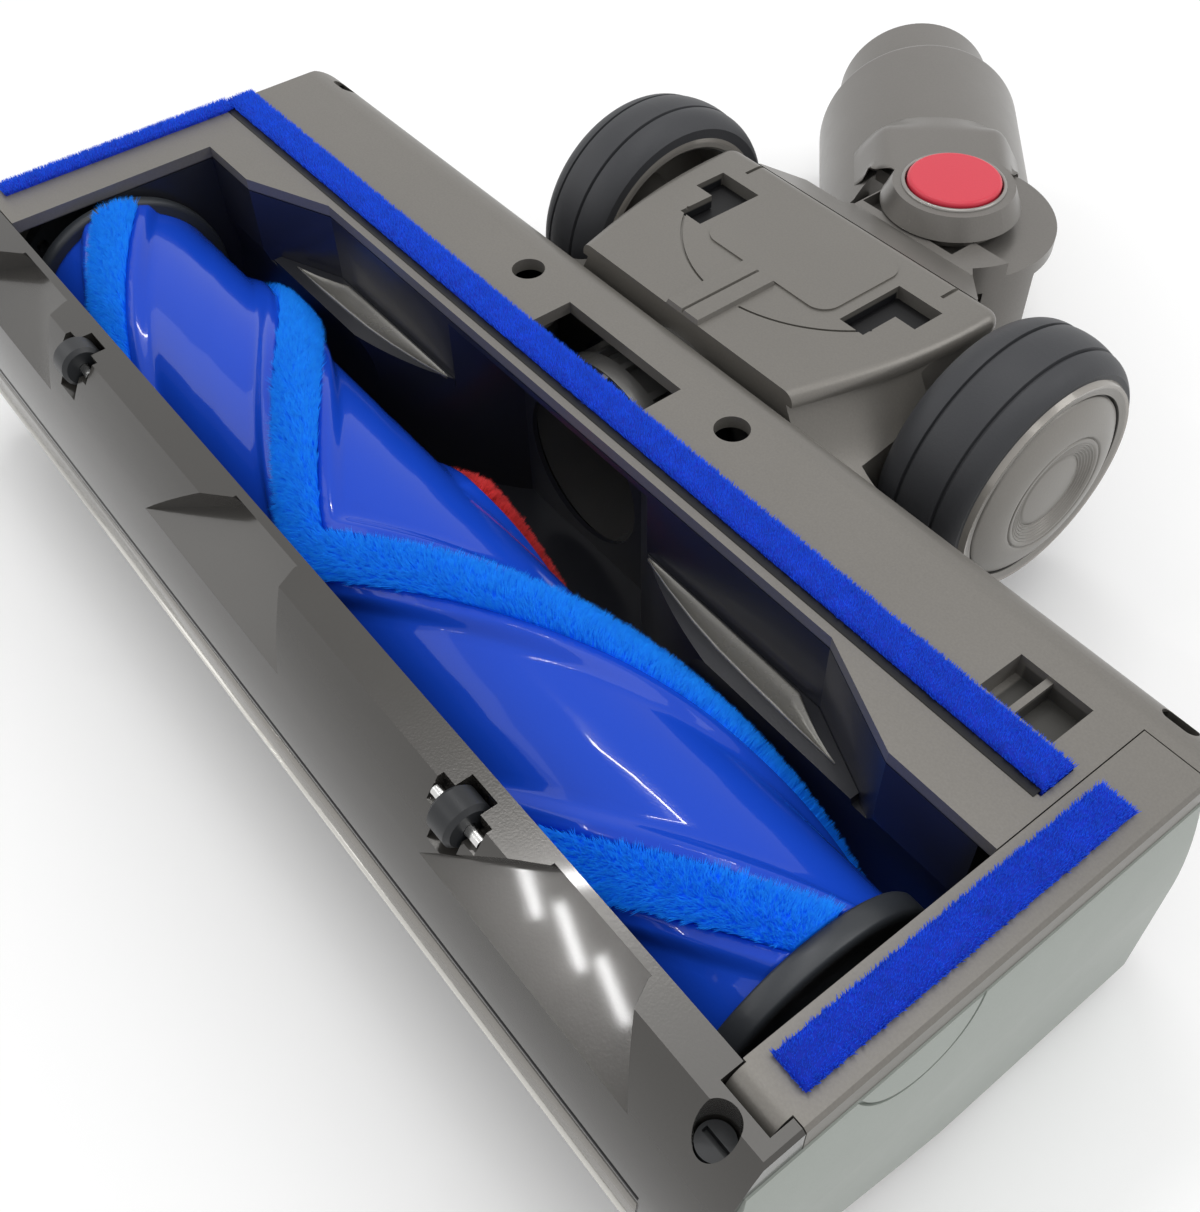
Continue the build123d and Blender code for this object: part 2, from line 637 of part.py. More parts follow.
def rim(r, angle):
    """Point of a brush section at a radius; the angle runs from +Z towards +Y."""
    return (r * sin(radians(angle)), brush_z + r * cos(radians(angle)))


def sector(x, angle, half_angle, r0, r1):
    """Ring sector of the brush section at x between two radii."""
    with BuildSketch(Plane.YZ.offset(x)) as sketch:
        with BuildLine():
            Line(rim(r0, angle - half_angle), rim(r1, angle - half_angle))
            ThreePointArc(rim(r1, angle - half_angle), rim(r1, angle), rim(r1, angle + half_angle))
            Line(rim(r1, angle + half_angle), rim(r0, angle + half_angle))
            ThreePointArc(rim(r0, angle + half_angle), rim(r0, angle), rim(r0, angle - half_angle))
        make_face()
    return sketch.sketch


def helix(start, half_angle, r0, r1, reach, mode=Mode.ADD):
    """Right half of a V-shaped band that turns as it runs out from the middle."""
    loft([sector(x * reach, start + twist * x * reach, half_angle, r0, r1) for x in stations], mode=mode)


with BuildPart() as core_right:
    disc_x(0, core_half, 0, brush_z, core_r)
    for start in strip_starts.values():
        helix(start, rail_half, core_r - 0.6, rail_r, 1.0)
    for start in strip_starts.values():
        helix(start, strip_half, channel_r, tip_r, 1.0, Mode.SUBTRACT)
    disc_x(-1, core_half + 1, 0, brush_z, core_bore, Mode.SUBTRACT)

with BuildPart() as brush_core:
    add(core_right.part)
    mirror(about=Plane.YZ)

strips = {}
for name, start in strip_starts.items():
    with BuildPart() as strip:
        helix(start, strip_half - 0.5, channel_r + 0.1, tip_r, 0.99)
        mirror(about=Plane.YZ)
    strips[name] = strip

with BuildPart() as brush_hub_right:
    disc_x(core_half, core_half + hub_len, 0, brush_z, hub_r)
    disc_x(core_half - 12, core_half, 0, brush_z, core_bore - 0.05)
    disc_x(core_half - 13, core_half + hub_len + 1, 0, brush_z, stub_r + run_fit, Mode.SUBTRACT)
    chamfer(brush_hub_right.edges().filter_by(GeomType.CIRCLE).sort_by(Axis.X)[-2:], 0.8)

with BuildPart() as brush_hub_left:
    disc_x(-core_half - hub_len, -core_half, 0, brush_z, hub_r)
    disc_x(-core_half - hub_len - 1, -core_half + 1, 0, brush_z, spindle_r + run_fit, Mode.SUBTRACT)
    chamfer(brush_hub_left.faces().sort_by(Axis.X)[0].outer_wire().edges(), 0.8)

with BuildPart() as drive_coupling:
    disc_x(coupling_x0, coupling_x1, 0, brush_z, core_bore - 0.05)
    disc_x(coupling_x0 - 1, coupling_x1 + 1, 0, brush_z, shaft_r + run_fit, Mode.SUBTRACT)
    for angle in range(0, 360, 60):
        hole_y = 10 * cos(radians(angle))
        hole_z = brush_z + 10 * sin(radians(angle))
        disc_x(coupling_x0 - 1, coupling_x1 + 1, hole_y, hole_z, 3.0, Mode.SUBTRACT)

# Small front rollers on steel pins.
rollers = {}
roller_pins = {}
roller_z = sole_z - 2.4
for side_name, side in (("left", -1), ("right", 1)):
    with BuildPart() as roller:
        disc_x(side * roller_x - roller_w / 2, side * roller_x + roller_w / 2, roller_y, roller_z, roller_r)
        chamfer(roller.edges().filter_by(GeomType.CIRCLE), 0.7)
        disc_x(
            side * roller_x - roller_w, side * roller_x + roller_w, roller_y, roller_z,
            roller_pin_r + run_fit, Mode.SUBTRACT,
        )
    rollers[f"roller_{side_name}"] = roller
    with BuildPart() as roller_pin:
        disc_x(side * roller_x - 5.6, side * roller_x + 5.6, roller_y, roller_z, roller_pin_r)
    roller_pins[f"roller_pin_{side_name}"] = roller_pin

# Coin lock in its round socket.
with BuildPart() as coin_lock:
    disc_z(lock_foot_z, lock_top_z, lock_x, lock_y, lock_r)
    block(
        lock_x - 0.8 * lock_r, lock_x + 0.8 * lock_r,
        lock_y - 0.45, lock_y + 0.45, lock_top_z - 1.4, lock_top_z + 1, Mode.SUBTRACT,
    )

# Ribbed duct collar: the cage on which the carriage rolls in the head.
with BuildPart() as duct_collar:
    disc_y(collar_front_y, carriage_y, 0, collar_z, collar_r)
    disc_y(collar_front_y + 2.6, 49.0, 0, collar_z, collar_r + 1.0, Mode.SUBTRACT)
    disc_y(collar_front_y + 2.6, 49.0, 0, collar_z, collar_r - 1.6)
    disc_y(52.6, 58.0, 0, collar_z, collar_r + 1.0, Mode.SUBTRACT)
    disc_y(52.6, 58.0, 0, collar_z, collar_r - 1.6)
    for angle in range(0, 360, 24):
        with Locations(Location((0, 0, collar_z), (0, angle, 0))):
            with Locations((0, (collar_front_y + 58.0) / 2, collar_r - 1.4)):
                Box(1.4, 58.0 - collar_front_y, 2.4)
    disc_y(59.6, 62.2, 0, collar_z, collar_r + 1.0, Mode.SUBTRACT)
    disc_y(59.6, 62.2, 0, collar_z, collar_r - 1.4)
    disc_y(collar_front_y - 1, carriage_y + 1, 0, collar_z, collar_bore, Mode.SUBTRACT)

with BuildPart() as collar_clip:
    disc_y(59.9, 61.9, 0, collar_z, collar_r + 2.0)
    disc_y(59.0, 63.0, 0, collar_z, collar_r - 1.35, Mode.SUBTRACT)
    block(-13.0, 13.0, 59.0, 63.0, collar_z - 30, collar_z, Mode.SUBTRACT)

# Carriage plate: flush with the sole, between the wheels, rounded along its two sides.
with BuildPart() as carriage_plate:
    corner_y = plate_rear_y - 3.1
    with BuildSketch(Plane.XY.offset(sole_z - carriage_t)):
        with BuildLine():
            Line((0, carriage_y), (plate_x0, carriage_y))
            Spline(
                (plate_x0, carriage_y),
                (plate_x1 - 0.8, corner_y - 14.0),
                (plate_x1, corner_y),
                tangents=((0.3, 1), (0, 1)),
            )
            TangentArc((plate_x1, corner_y), (plate_x1 - 3.1, plate_rear_y), tangent=(0, 1))
            Line((plate_x1 - 3.1, plate_rear_y), (0, plate_rear_y))
            Line((0, plate_rear_y), (0, carriage_y))
        make_face()
    extrude(amount=carriage_t)
    top_edges = carriage_plate.faces().sort_by(Axis.Z)[-1].edges()
    fillet(top_edges.filter_by(GeomType.BSPLINE) + top_edges.filter_by(GeomType.CIRCLE), plate_round)
    with BuildSketch(Plane.XY.offset(sole_z)):
        with Locations((2.25, (carriage_y + 86) / 2)):
            Rectangle(4.5, 86 - carriage_y)
    extrude(amount=0.9, taper=20)
    for limits in ((slot_x0, slot_x0 + 6.0, 88.0, 103.6), (slot_x0 + 5.9, slot_x1, 96.3, 103.6)):
        block(*limits, sole_z - carriage_t - 1, sole_z + 1, Mode.SUBTRACT)
    block(slot_x1 - 3.7, slot_x1 - 2.9, 107.0, plate_rear_y + 1, sole_z - 0.8, sole_z + 1, Mode.SUBTRACT)
    # thin curved groove from the slot to the middle ridge
    with BuildSketch(Plane.XY.offset(sole_z - 0.5)):
        with BuildLine():
            ThreePointArc((slot_x0 + 6.3, 90.0), (15.2, 79.8), (5.0, 76.0))
            Line((5.0, 76.0), (5.0, 76.5))
            ThreePointArc((5.0, 76.5), (14.9, 80.2), (slot_x0 + 5.9, 90.4))
            Line((slot_x0 + 5.9, 90.4), (slot_x0 + 6.3, 90.0))
        make_face()
    extrude(amount=2.0, mode=Mode.SUBTRACT)
    mirror(about=Plane.YZ)
    with BuildSketch(Plane.XY.offset(sole_z)):
        with Locations((0, 97.2)):
            RectangleRounded(34.0, 22.0, 4.0)
    extrude(amount=0.35)

# Carriage frame: front wall with the duct, two cheeks that carry the axle, hollow fairings before the wheels.
with BuildPart() as carriage_frame:
    frame_top_z = sole_z - carriage_t
    block(-cheek_x1, cheek_x1, carriage_y, front_wall_y, 10.0, frame_top_z)
    for side in (-1, 1):
        with BuildSketch(Plane.YZ.offset(cheek_x0 if side > 0 else -cheek_x1)):
            with BuildLine():
                Polyline(
                    (carriage_y, 14.0),
                    (carriage_y + 17.3, 22.0),
                    (axle_y, axle_z - 14),
                    (axle_y + 8.5, axle_z - 8),
                    (axle_y + 8.5, frame_top_z),
                    (carriage_y, frame_top_z),
                    close=True,
                )
            make_face()
        extrude(amount=cheek_t)
        fairing_x = wheel_x0 + fairing_w
        with BuildSketch(Plane.XY.offset(16.0)):
            with BuildLine():
                Polyline(
                    (side * plate_x0, carriage_y),
                    (side * fairing_x, carriage_y),
                    (side * fairing_x, axle_y - wheel_r),
                    (side * (wheel_x0 - 1.0), axle_y - 10.0),
                    (side * cheek_x0, axle_y - 10.0),
                    (side * plate_x0, front_wall_y),
                    close=True,
                )
            make_face()
        extrude(amount=frame_top_z - 16.0)
        hollow_plane = Plane(
            origin=(side * (plate_x0 + fairing_r - 2.0), carriage_y, sole_z + 5.0),
            x_dir=(cos(radians(fairing_turn)), -side * sin(radians(fairing_turn)), 0),
            z_dir=(side * sin(radians(fairing_turn)), cos(radians(fairing_turn)), 0),
        )
        with BuildSketch(hollow_plane):
            Circle(fairing_r)
        extrude(amount=axle_y, both=True, mode=Mode.SUBTRACT)
        wheel_side = side * (wheel_x0 - wheel_play)
        disc_x(wheel_side, side * (wheel_x1 + 10), axle_y, axle_z, wheel_r + wheel_play, Mode.SUBTRACT)
    disc_y(carriage_y - 1, front_wall_y + 1, 0, collar_z, collar_bore, Mode.SUBTRACT)
    disc_x(-half, half, axle_y, axle_z, axle_r + 0.02, Mode.SUBTRACT)

with BuildPart() as wheel_axle:
    for side in (-1, 1):
        disc_x(side * (arm_w / 2 - 6.0), side * (wheel_x1 - 1.0), axle_y, axle_z, axle_r)
    chamfer(wheel_axle.edges().filter_by(GeomType.CIRCLE), 0.4)

# Rear wheels: soft tyre on a hub with a bright bevelled ring and a round cap.
rim_r = wheel_r - tyre_t
wheels = {}
for side_name, side in (("left", -1), ("right", 1)):
    side_plane = Plane(origin=(0, axle_y, axle_z), x_dir=(side, 0, 0), z_dir=(0, -side, 0))
    spin = Axis((0, axle_y, axle_z), (1, 0, 0))
    with BuildPart() as tyre:
        line_a = wheel_x0 + 6.0
        line_b = wheel_x1 - 5.5
        side_x = wheel_x1 - 1.1
        with BuildSketch(side_plane):
            with BuildLine():
                Line((wheel_x0, rim_r), (wheel_x0, wheel_r - 2.6))
                ThreePointArc(
                    (wheel_x0, wheel_r - 2.6),
                    (wheel_x0 + 2.0, wheel_r - 1.0),
                    (line_a - 0.4, wheel_r - 0.2),
                )
                Polyline(
                    (line_a - 0.4, wheel_r - 0.2),
                    (line_a - 0.2, wheel_r - 0.8),
                    (line_a + 0.2, wheel_r - 0.8),
                    (line_a + 0.4, wheel_r - 0.15),
                )
                ThreePointArc(
                    (line_a + 0.4, wheel_r - 0.15),
                    ((line_a + line_b) / 2, wheel_r),
                    (line_b - 0.4, wheel_r - 0.7),
                )
                Polyline(
                    (line_b - 0.4, wheel_r - 0.7),
                    (line_b - 0.2, wheel_r - 1.4),
                    (line_b + 0.2, wheel_r - 1.4),
                    (line_b + 0.4, wheel_r - 0.9),
                )
                ThreePointArc(
                    (line_b + 0.4, wheel_r - 0.9),
                    (side_x - 1.2, wheel_r - 2.1),
                    (side_x, rim_r + 1.2),
                )
                Line((side_x, rim_r + 1.2), (side_x, rim_r))
                Line((side_x, rim_r), (wheel_x0, rim_r))
            make_face()
        revolve(axis=spin)
    with BuildPart() as hub:
        with BuildSketch(side_plane):
            with BuildLine():
                Polyline(
                    (wheel_x0 + 1.0, 19.0),
                    (wheel_x0, 20.0),
                    (wheel_x0, rim_r),
                    (side_x, rim_r),
                    (side_x, rim_r + 0.2),
                    (wheel_x1, rim_r - 0.3),
                    (wheel_x1 - 0.4, rim_r - 2.4),
                    (wheel_x1 - 1.2, rim_r - 2.8),
                    (wheel_x1 - 0.4, 12.6),
                    (wheel_x1 - 0.4, axle_r + run_fit),
                    (wheel_x0 - 1.0, axle_r + run_fit),
                    (wheel_x0 - 1.0, 7.0),
                    (wheel_x1 - 5.0, 8.0),
                    (wheel_x1 - 5.0, 19.0),
                    close=True,
                )
            make_face()
        revolve(axis=spin)
    with BuildPart() as cap:
        with BuildSketch(side_plane):
            with BuildLine():
                Polyline(
                    (wheel_x1 - 0.4, 0),
                    (wheel_x1 - 0.4, 12.2),
                    (wheel_x1 + 1.2, 12.2),
                    (wheel_x1 + 1.9, 11.4),
                    (wheel_x1 + 1.9, 8.6),
                    (wheel_x1 + 1.6, 8.3),
                    (wheel_x1 + 1.6, 0),
                    close=True,
                )
            make_face()
        revolve(axis=spin)
    wheels[f"tyre_{side_name}"] = tyre
    wheels[f"hub_{side_name}"] = hub
    wheels[f"hub_cap_{side_name}"] = cap

# Elbow: barrel on the axle, sloping arm and the upright drum that the tube turns on.
with BuildPart() as neck_elbow:
    with BuildSketch(Plane.YZ.offset(-arm_w / 2)):
        with BuildLine():
            Polyline(
                (axle_y, axle_z + 15.5),
                (plate_rear_y + 0.7, sole_z - carriage_t - 2.4),
                (plate_rear_y + 0.7, sole_z - 1.6),
                (tongue_y, tongue_z),
                (pocket_y, tongue_z),
                (pocket_y, drum_top_z),
                (pivot_y, drum_top_z),
                (pivot_y, drum_bottom_z),
                (pivot_y - drum_r + 2, drum_bottom_z),
                (axle_y, axle_z - 15.5),
                close=True,
            )
        make_face()
    extrude(amount=arm_w)
    with BuildSketch(Plane.XY):
        with BuildLine():
            Polyline(
                (-arm_w / 2, axle_y - 20),
                (arm_w / 2, axle_y - 20),
                (arm_w / 2, plate_rear_y + 1.5),
                (drum_r * cos(radians(36)), pivot_y - drum_r * sin(radians(36))),
                (0, pivot_y),
                (-drum_r * cos(radians(36)), pivot_y - drum_r * sin(radians(36))),
                (-arm_w / 2, plate_rear_y + 1.5),
                close=True,
            )
        make_face()
    extrude(amount=sole_z, mode=Mode.INTERSECT)
    disc_x(-arm_w / 2, arm_w / 2, axle_y, axle_z, 15.6)
    disc_z(drum_bottom_z, tongue_z, 0, pivot_y, drum_r)
    # the drum is lower behind the tongue and in the pocket of the boss
    block(-drum_r - 1, drum_r + 1, tongue_rear_y, pivot_y + drum_r + 1, drum_top_z, sole_z, Mode.SUBTRACT)
    block(-pocket_w / 2, pocket_w / 2, pocket_y, pivot_y, drum_top_z, sole_z, Mode.SUBTRACT)
    # air duct through the barrel, the arm and the drum, open towards the tube and on the left of the boss
    cavity_z0 = drum_bottom_z + drum_wall
    cavity_z1 = drum_top_z - drum_wall
    block(-duct_w / 2, duct_w / 2, axle_y - 20, pivot_y - 8, duct_z0, duct_z1, Mode.SUBTRACT)
    disc_z(cavity_z0, cavity_z1, 0, pivot_y, drum_r - drum_wall, Mode.SUBTRACT)
    block(-drum_r - 1, drum_r + 1, pivot_y + 2, pivot_y + drum_r + 1, cavity_z0, cavity_z1, Mode.SUBTRACT)
    block(-drum_r - 1, -pocket_w / 2 - 0.3, tongue_y - 4, pivot_y + 2, cavity_z1 - 4, sole_z, Mode.SUBTRACT)
    disc_z(0, sole_z, 0, pivot_y, pin_r + 0.02, Mode.SUBTRACT)
    disc_x(-half, half, axle_y, axle_z, axle_r + run_fit, Mode.SUBTRACT)

# Neck tube: two cheeks round the drum, the round tube and the reduced spigot for the wand.
heading = (-sin(radians(tube_turn)), cos(radians(tube_turn)), 0)
across = (cos(radians(tube_turn)), sin(radians(tube_turn)), 0)
tube_plane = Plane(origin=(0, pivot_y, tube_z), x_dir=across, z_dir=heading)
cheek_plane = Plane(origin=(0, pivot_y, 0), x_dir=across, z_dir=(0, 0, 1))
with BuildPart() as neck_tube:
    with BuildSketch(tube_plane.offset(tube_start)):
        Circle(tube_r)
    extrude(amount=tube_len - tube_start)
    along = Axis(origin=(0, pivot_y, tube_z), direction=heading)
    fillet(neck_tube.edges().filter_by(GeomType.CIRCLE).sort_by(along)[-1], 2.0)
    with BuildSketch(tube_plane.offset(tube_len - 1)):
        Circle(spigot_r)
    extrude(amount=spigot_len - tube_len + 1)
    disc_z(drum_bottom_z - 0.6, drum_top_z + 0.6, 0, pivot_y, drum_r + 0.7, Mode.SUBTRACT)
    # upper and lower cheek that hold the drum between them
    lower_cheek = (drum_bottom_z - 4.6, drum_bottom_z - 0.6, boss_r)
    upper_cheek = (drum_top_z + 0.6, boss_foot_z, yoke_r)
    for z0, z1, end_r in (lower_cheek, upper_cheek):
        with BuildSketch(cheek_plane.offset(z0)):
            Circle(end_r)
            with Locations((0, yoke_len / 2)):
                Rectangle(yoke_w, yoke_len)
        extrude(amount=z1 - z0)
    boss_h = boss_z - boss_foot_z
    with BuildSketch(Plane.XY.offset(boss_foot_z)):
        with Locations((0, pivot_y)):
            Circle(boss_r)
    extrude(amount=boss_h, taper=degrees(asin((boss_r - boss_top_r) / hypot(boss_h, boss_r - boss_top_r))))
    with BuildSketch(tube_plane.offset(tube_start - 1)):
        Circle(spigot_bore - 0.6)
    extrude(amount=spigot_len, mode=Mode.SUBTRACT)
    with BuildSketch(tube_plane.offset(bore_start)):
        Circle(spigot_bore)
    extrude(amount=spigot_len, mode=Mode.SUBTRACT)
    disc_z(boss_z - 5.4, boss_z + 1, 0, pivot_y, button_r + 0.3, Mode.SUBTRACT)
    disc_z(-1, boss_z - 5.4 - 1.0, 0, pivot_y, pin_r + run_fit, Mode.SUBTRACT)
    # key slot in the rim of the spigot
    with BuildSketch(tube_plane.offset(tube_len + 8)):
        with Locations(Location((-11.0, 15.0), 36)):
            Rectangle(2.0, 12.0)
    extrude(amount=spigot_len, mode=Mode.SUBTRACT)

with BuildPart() as swivel_pins:
    disc_z(drum_top_z - 3, boss_z - 6.6, 0, pivot_y, pin_r)
    disc_z(drum_bottom_z - 4.4, drum_bottom_z + 3, 0, pivot_y, pin_r)

with BuildPart() as release_button:
    disc_z(boss_z - 5.4 + button_travel + 0.3, button_top_z, 0, pivot_y, button_r)
    fillet(release_button.edges().filter_by(GeomType.CIRCLE).sort_by(Axis.Z)[-1], 0.8)

pieces = {
    "main_housing": main_housing,
    "sole_plate": sole_plate,
    "front_visor": front_visor,
    "end_cap": end_cap,
    "end_cap_panel": end_cap_panel,
    "left_side_panel": left_side_panel,
    "chamber_liner": chamber_liner,
    "chamber_shelf": chamber_shelf,
    "rear_velvet": rear_velvet,
    "end_velvet": end_velvet,
    "left_velvet": left_velvet,
    "sole_screws": sole_screws,
    "brush_motor": brush_motor,
    "motor_flange": motor_flange,
    "control_board": control_board,
    "brush_core": brush_core,
    "brush_hub_right": brush_hub_right,
    "brush_hub_left": brush_hub_left,
    "drive_coupling": drive_coupling,
    "coin_lock": coin_lock,
    "duct_collar": duct_collar,
    "collar_clip": collar_clip,
    "carriage_plate": carriage_plate,
    "carriage_frame": carriage_frame,
    "wheel_axle": wheel_axle,
    "neck_elbow": neck_elbow,
    "neck_tube": neck_tube,
    "swivel_pins": swivel_pins,
    "release_button": release_button,
}
pieces.update(strips)
pieces.update(rollers)
pieces.update(roller_pins)
pieces.update(wheels)

for name, piece in pieces.items():
    piece.part.label = name
    export_step(piece.part, f"parts/{name}.step")
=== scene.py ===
import math

import bmesh
import bpy
import numpy as np
from mathutils import Matrix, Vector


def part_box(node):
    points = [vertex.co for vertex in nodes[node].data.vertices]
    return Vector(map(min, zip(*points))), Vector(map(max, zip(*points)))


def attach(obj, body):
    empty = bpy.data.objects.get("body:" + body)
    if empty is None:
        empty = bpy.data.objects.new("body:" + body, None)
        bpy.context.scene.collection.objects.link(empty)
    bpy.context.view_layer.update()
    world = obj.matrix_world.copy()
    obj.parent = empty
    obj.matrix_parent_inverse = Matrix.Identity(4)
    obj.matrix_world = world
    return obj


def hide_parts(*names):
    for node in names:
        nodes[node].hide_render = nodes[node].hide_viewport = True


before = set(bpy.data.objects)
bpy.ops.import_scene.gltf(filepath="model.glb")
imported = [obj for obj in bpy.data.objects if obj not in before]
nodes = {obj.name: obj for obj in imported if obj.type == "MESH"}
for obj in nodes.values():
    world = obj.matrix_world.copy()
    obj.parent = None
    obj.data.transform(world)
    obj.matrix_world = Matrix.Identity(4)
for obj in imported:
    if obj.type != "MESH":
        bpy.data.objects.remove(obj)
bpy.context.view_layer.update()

MM = 0.001

# Sizes that the pieces share, in millimetres and degrees, as in the part's source; only the brush is longer
SOLE_Z = 57.0                 # face of the sole plate
SHELF_Z = 39.5                # face of the chamber shelf
VISOR_ARC = (14.876, 27.208, 49.377)    # y and z of the middle, and radius, of the visor's face
VISOR_ENDS = (-122.3, 111.2)
BRUSH_Z = 32.0                # axis of the brush
BRUSH_HALF = 104.5            # from the middle of the brush core to its ends
BRUSH_STEPS = 241             # rings along the brush
TWIST = 1.6                   # turn of the strips per millimetre
V_ROUND, V_START = 0.5, 0.7   # rounding of their V in the middle, and where it starts
CORE_R = 20.0                 # plain round of the core
RAIL_RISE = 1.8               # top of a rail above it
CHANNEL_R = 18.9              # floor of the channel under a strip
CHANNEL_EDGE = (10.4, 11.4)   # angles from a strip's middle over which the channel ends
RAIL_INSIDE = (10.8, 12.8)    # and over which a rail rises
RAIL_OUTSIDE = (17.5, 27.0)   # and falls
HUB_R = 22.5
HUB_ENDS = {-1: 107.4, 1: 108.4}
STRIP_ANGLE = 11.0            # half of a strip's width
STRIP_STARTS = {"bristle_strip_blue_a": -42.0, "bristle_strip_red": 78.0, "bristle_strip_blue_b": -162.0}
AXLE = (102.5, 36.5)          # y and z of the wheel axle
WHEEL_FACE = 61.5
PLATE_UNDER = 54.2            # lower face of the carriage plate
PIVOT_Y = 140.5               # swivel axis of the neck
TUBE_TURN = 46.0              # swivel of the neck tube at rest
TUBE_Z, TUBE_R = 24.6, 24.5
CHEEK_Z = 49.8
DRUM_Z = 46.4
BOSS_Z = 54.4

# Bristles and velvet, in millimetres
BRISTLES = 62000              # fibres in one strip
BRISTLE_WIDTH = 0.11
ROOT_R, ROOT_CROWN = 20.8, 1.4
TIP_R, TIP_CROWN, TIP_SPARE = 24.6, 1.1, 0.4
STRIP_SHORT = 0.4             # end of a strip inside the core's end
MAT_SHARE = 0.97              # width of the mat in that of the pile
SPLAY = 0.20                  # lean at a strip's edges, in half widths
TUFT_STEP, TUFT_ROWS = 0.5, 8    # length of a tuft along x, and tufts across half a strip
TUFT_STRAY = (0.26, 0.07, 0.15)     # of tips: along x, across and outwards
FIBRE_STRAY = (0.18, 0.04, 0.12)
VELVET_DENSITY = 26           # fibres in a square millimetre
VELVET_WIDTH = 0.15
VELVET_RIM = 1.6              # width of the rounded rim
RIM_DROP, RIM_SPLAY = 0.9, 0.45
VELVET_STRAY = (0.16, 0.10)   # of tips: sideways and upwards
VELVET_ROOT = 0.2             # roots above the sole
BACK_RIM, BACK_CROWN, BACK_SLOPE = 0.9, 0.6, 1.2    # backing: rim above the sole, rise, and width of the rise
# painted shade: low in the pile the colour goes to the darker root colour, and the mat under the fibres gets the
# root colour and a slightly darker tone
FOOT_HEIGHT = 0.15            # pile_height at a fibre's foot; at its tip it is 1
MAT_HEIGHT, MAT_SHADE = 0.10, 0.3    # pile_height and pile_shade on the mat under the fibres

# Faces that a mask picks out, in millimetres: boxes, and distances from the wheel axle
MOUTH_WALL = ((-110.5, 112.5), (-17.0, 40.0), (0.0, 54.8))
TRAY_INSIDE = ((93.0, 106.4), (44.3, 53.8), (50.0, 55.6))
# painted shade: the walls of the carriage plate's windows, below its face, darkened for the shade that falls in
# them
POCKET_SHADE_BOX = ((14.5, 31.8), (86.8, 103.4), (46.0, 56.0))
BOX_SOFT = 0.4
# the rim band carries real gloss and a painted highlight; the band inside it carries painted shade in the groove
RIM_GLOSS_AND_HIGHLIGHT, RIM_SOFT = (20.9, 30.0), 0.2
GROOVE_SHADE_BAND, GROOVE_SHADE_SOFT = (19.0, 19.5), 0.1
GRAIN_DEPTH = 0.2
FIBRE_SHARE = 0.6             # what a fibre's own shade counts, against 1 for brushed patches


def linear(code):
    """Turns a six-digit sRGB colour into linear RGB with full alpha."""
    s = np.array([int(code[i:i + 2], 16) for i in (0, 2, 4)]) / 255.0
    rgb = np.where(s <= 0.04045, s / 12.92, ((s + 0.055) / 1.055) ** 2.4)
    return (*rgb.tolist(), 1.0)


# Shader groups

def new_group(name, inputs, outputs):
    """An empty shader group; its inputs are (kind, name, default) and its outputs (kind, name)."""
    tree = bpy.data.node_groups.new(name, "ShaderNodeTree")
    for kind, label, default in inputs:
        socket = tree.interface.new_socket(label, in_out="INPUT", socket_type=kind)
        if default is not None:
            socket.default_value = default
    for kind, label in outputs:
        tree.interface.new_socket(label, in_out="OUTPUT", socket_type=kind)
    return tree, tree.nodes.new("NodeGroupInput"), tree.nodes.new("NodeGroupOutput")


def feed(tree, socket, value):
    """Links a socket to the one given as its value, or sets it to a constant."""
    if isinstance(value, bpy.types.NodeSocket):
        tree.links.new(value, socket)
    else:
        socket.default_value = value


def set_inputs(node, values):
    """Sets named sockets of a node to constants."""
    for label, value in values.items():
        node.inputs[label].default_value = value


def math_node(tree, operation, a, b=None, clamp=False):
    """One Math node on sockets or numbers."""
    node = tree.nodes.new("ShaderNodeMath")
    node.operation = operation
    node.use_clamp = clamp
    feed(tree, node.inputs[0], a)
    if b is not None:
        feed(tree, node.inputs[1], b)
    return node.outputs[0]


def mix_node(tree, kind, factor, a, b, how="MIX"):
    """One Mix node from a to b, of the kind RGBA or FLOAT."""
    node = tree.nodes.new("ShaderNodeMix")
    node.data_type = kind
    node.blend_type = how
    for label, value in (("Factor", factor), ("A", a), ("B", b)):
        feed(tree, node.inputs[label], value)
    return node.outputs["Result"]


def tint(tree, colour, value):
    """A colour socket multiplied by a value socket."""
    return mix_node(tree, "RGBA", 1.0, colour, value, "MULTIPLY")


def noise_node(tree, vector, scale, detail=2.0, rough=0.5):
    """One Noise Texture on a vector socket; the scale is in waves per metre."""
    node = tree.nodes.new("ShaderNodeTexNoise")
    set_inputs(node, {"Scale": scale, "Detail": detail, "Roughness": rough})
    tree.links.new(vector, node.inputs["Vector"])
    return node.outputs["Fac"]


def attribute_node(tree, name):
    """The number that a piece stores under a name at each vertex."""
    node = tree.nodes.new("ShaderNodeAttribute")
    node.attribute_name = name
    return node.outputs["Fac"]


def axes_of(tree, vector):
    """The X, Y and Z sockets of a vector socket."""
    node = tree.nodes.new("ShaderNodeSeparateXYZ")
    tree.links.new(vector, node.inputs[0])
    return node.outputs["X"], node.outputs["Y"], node.outputs["Z"]


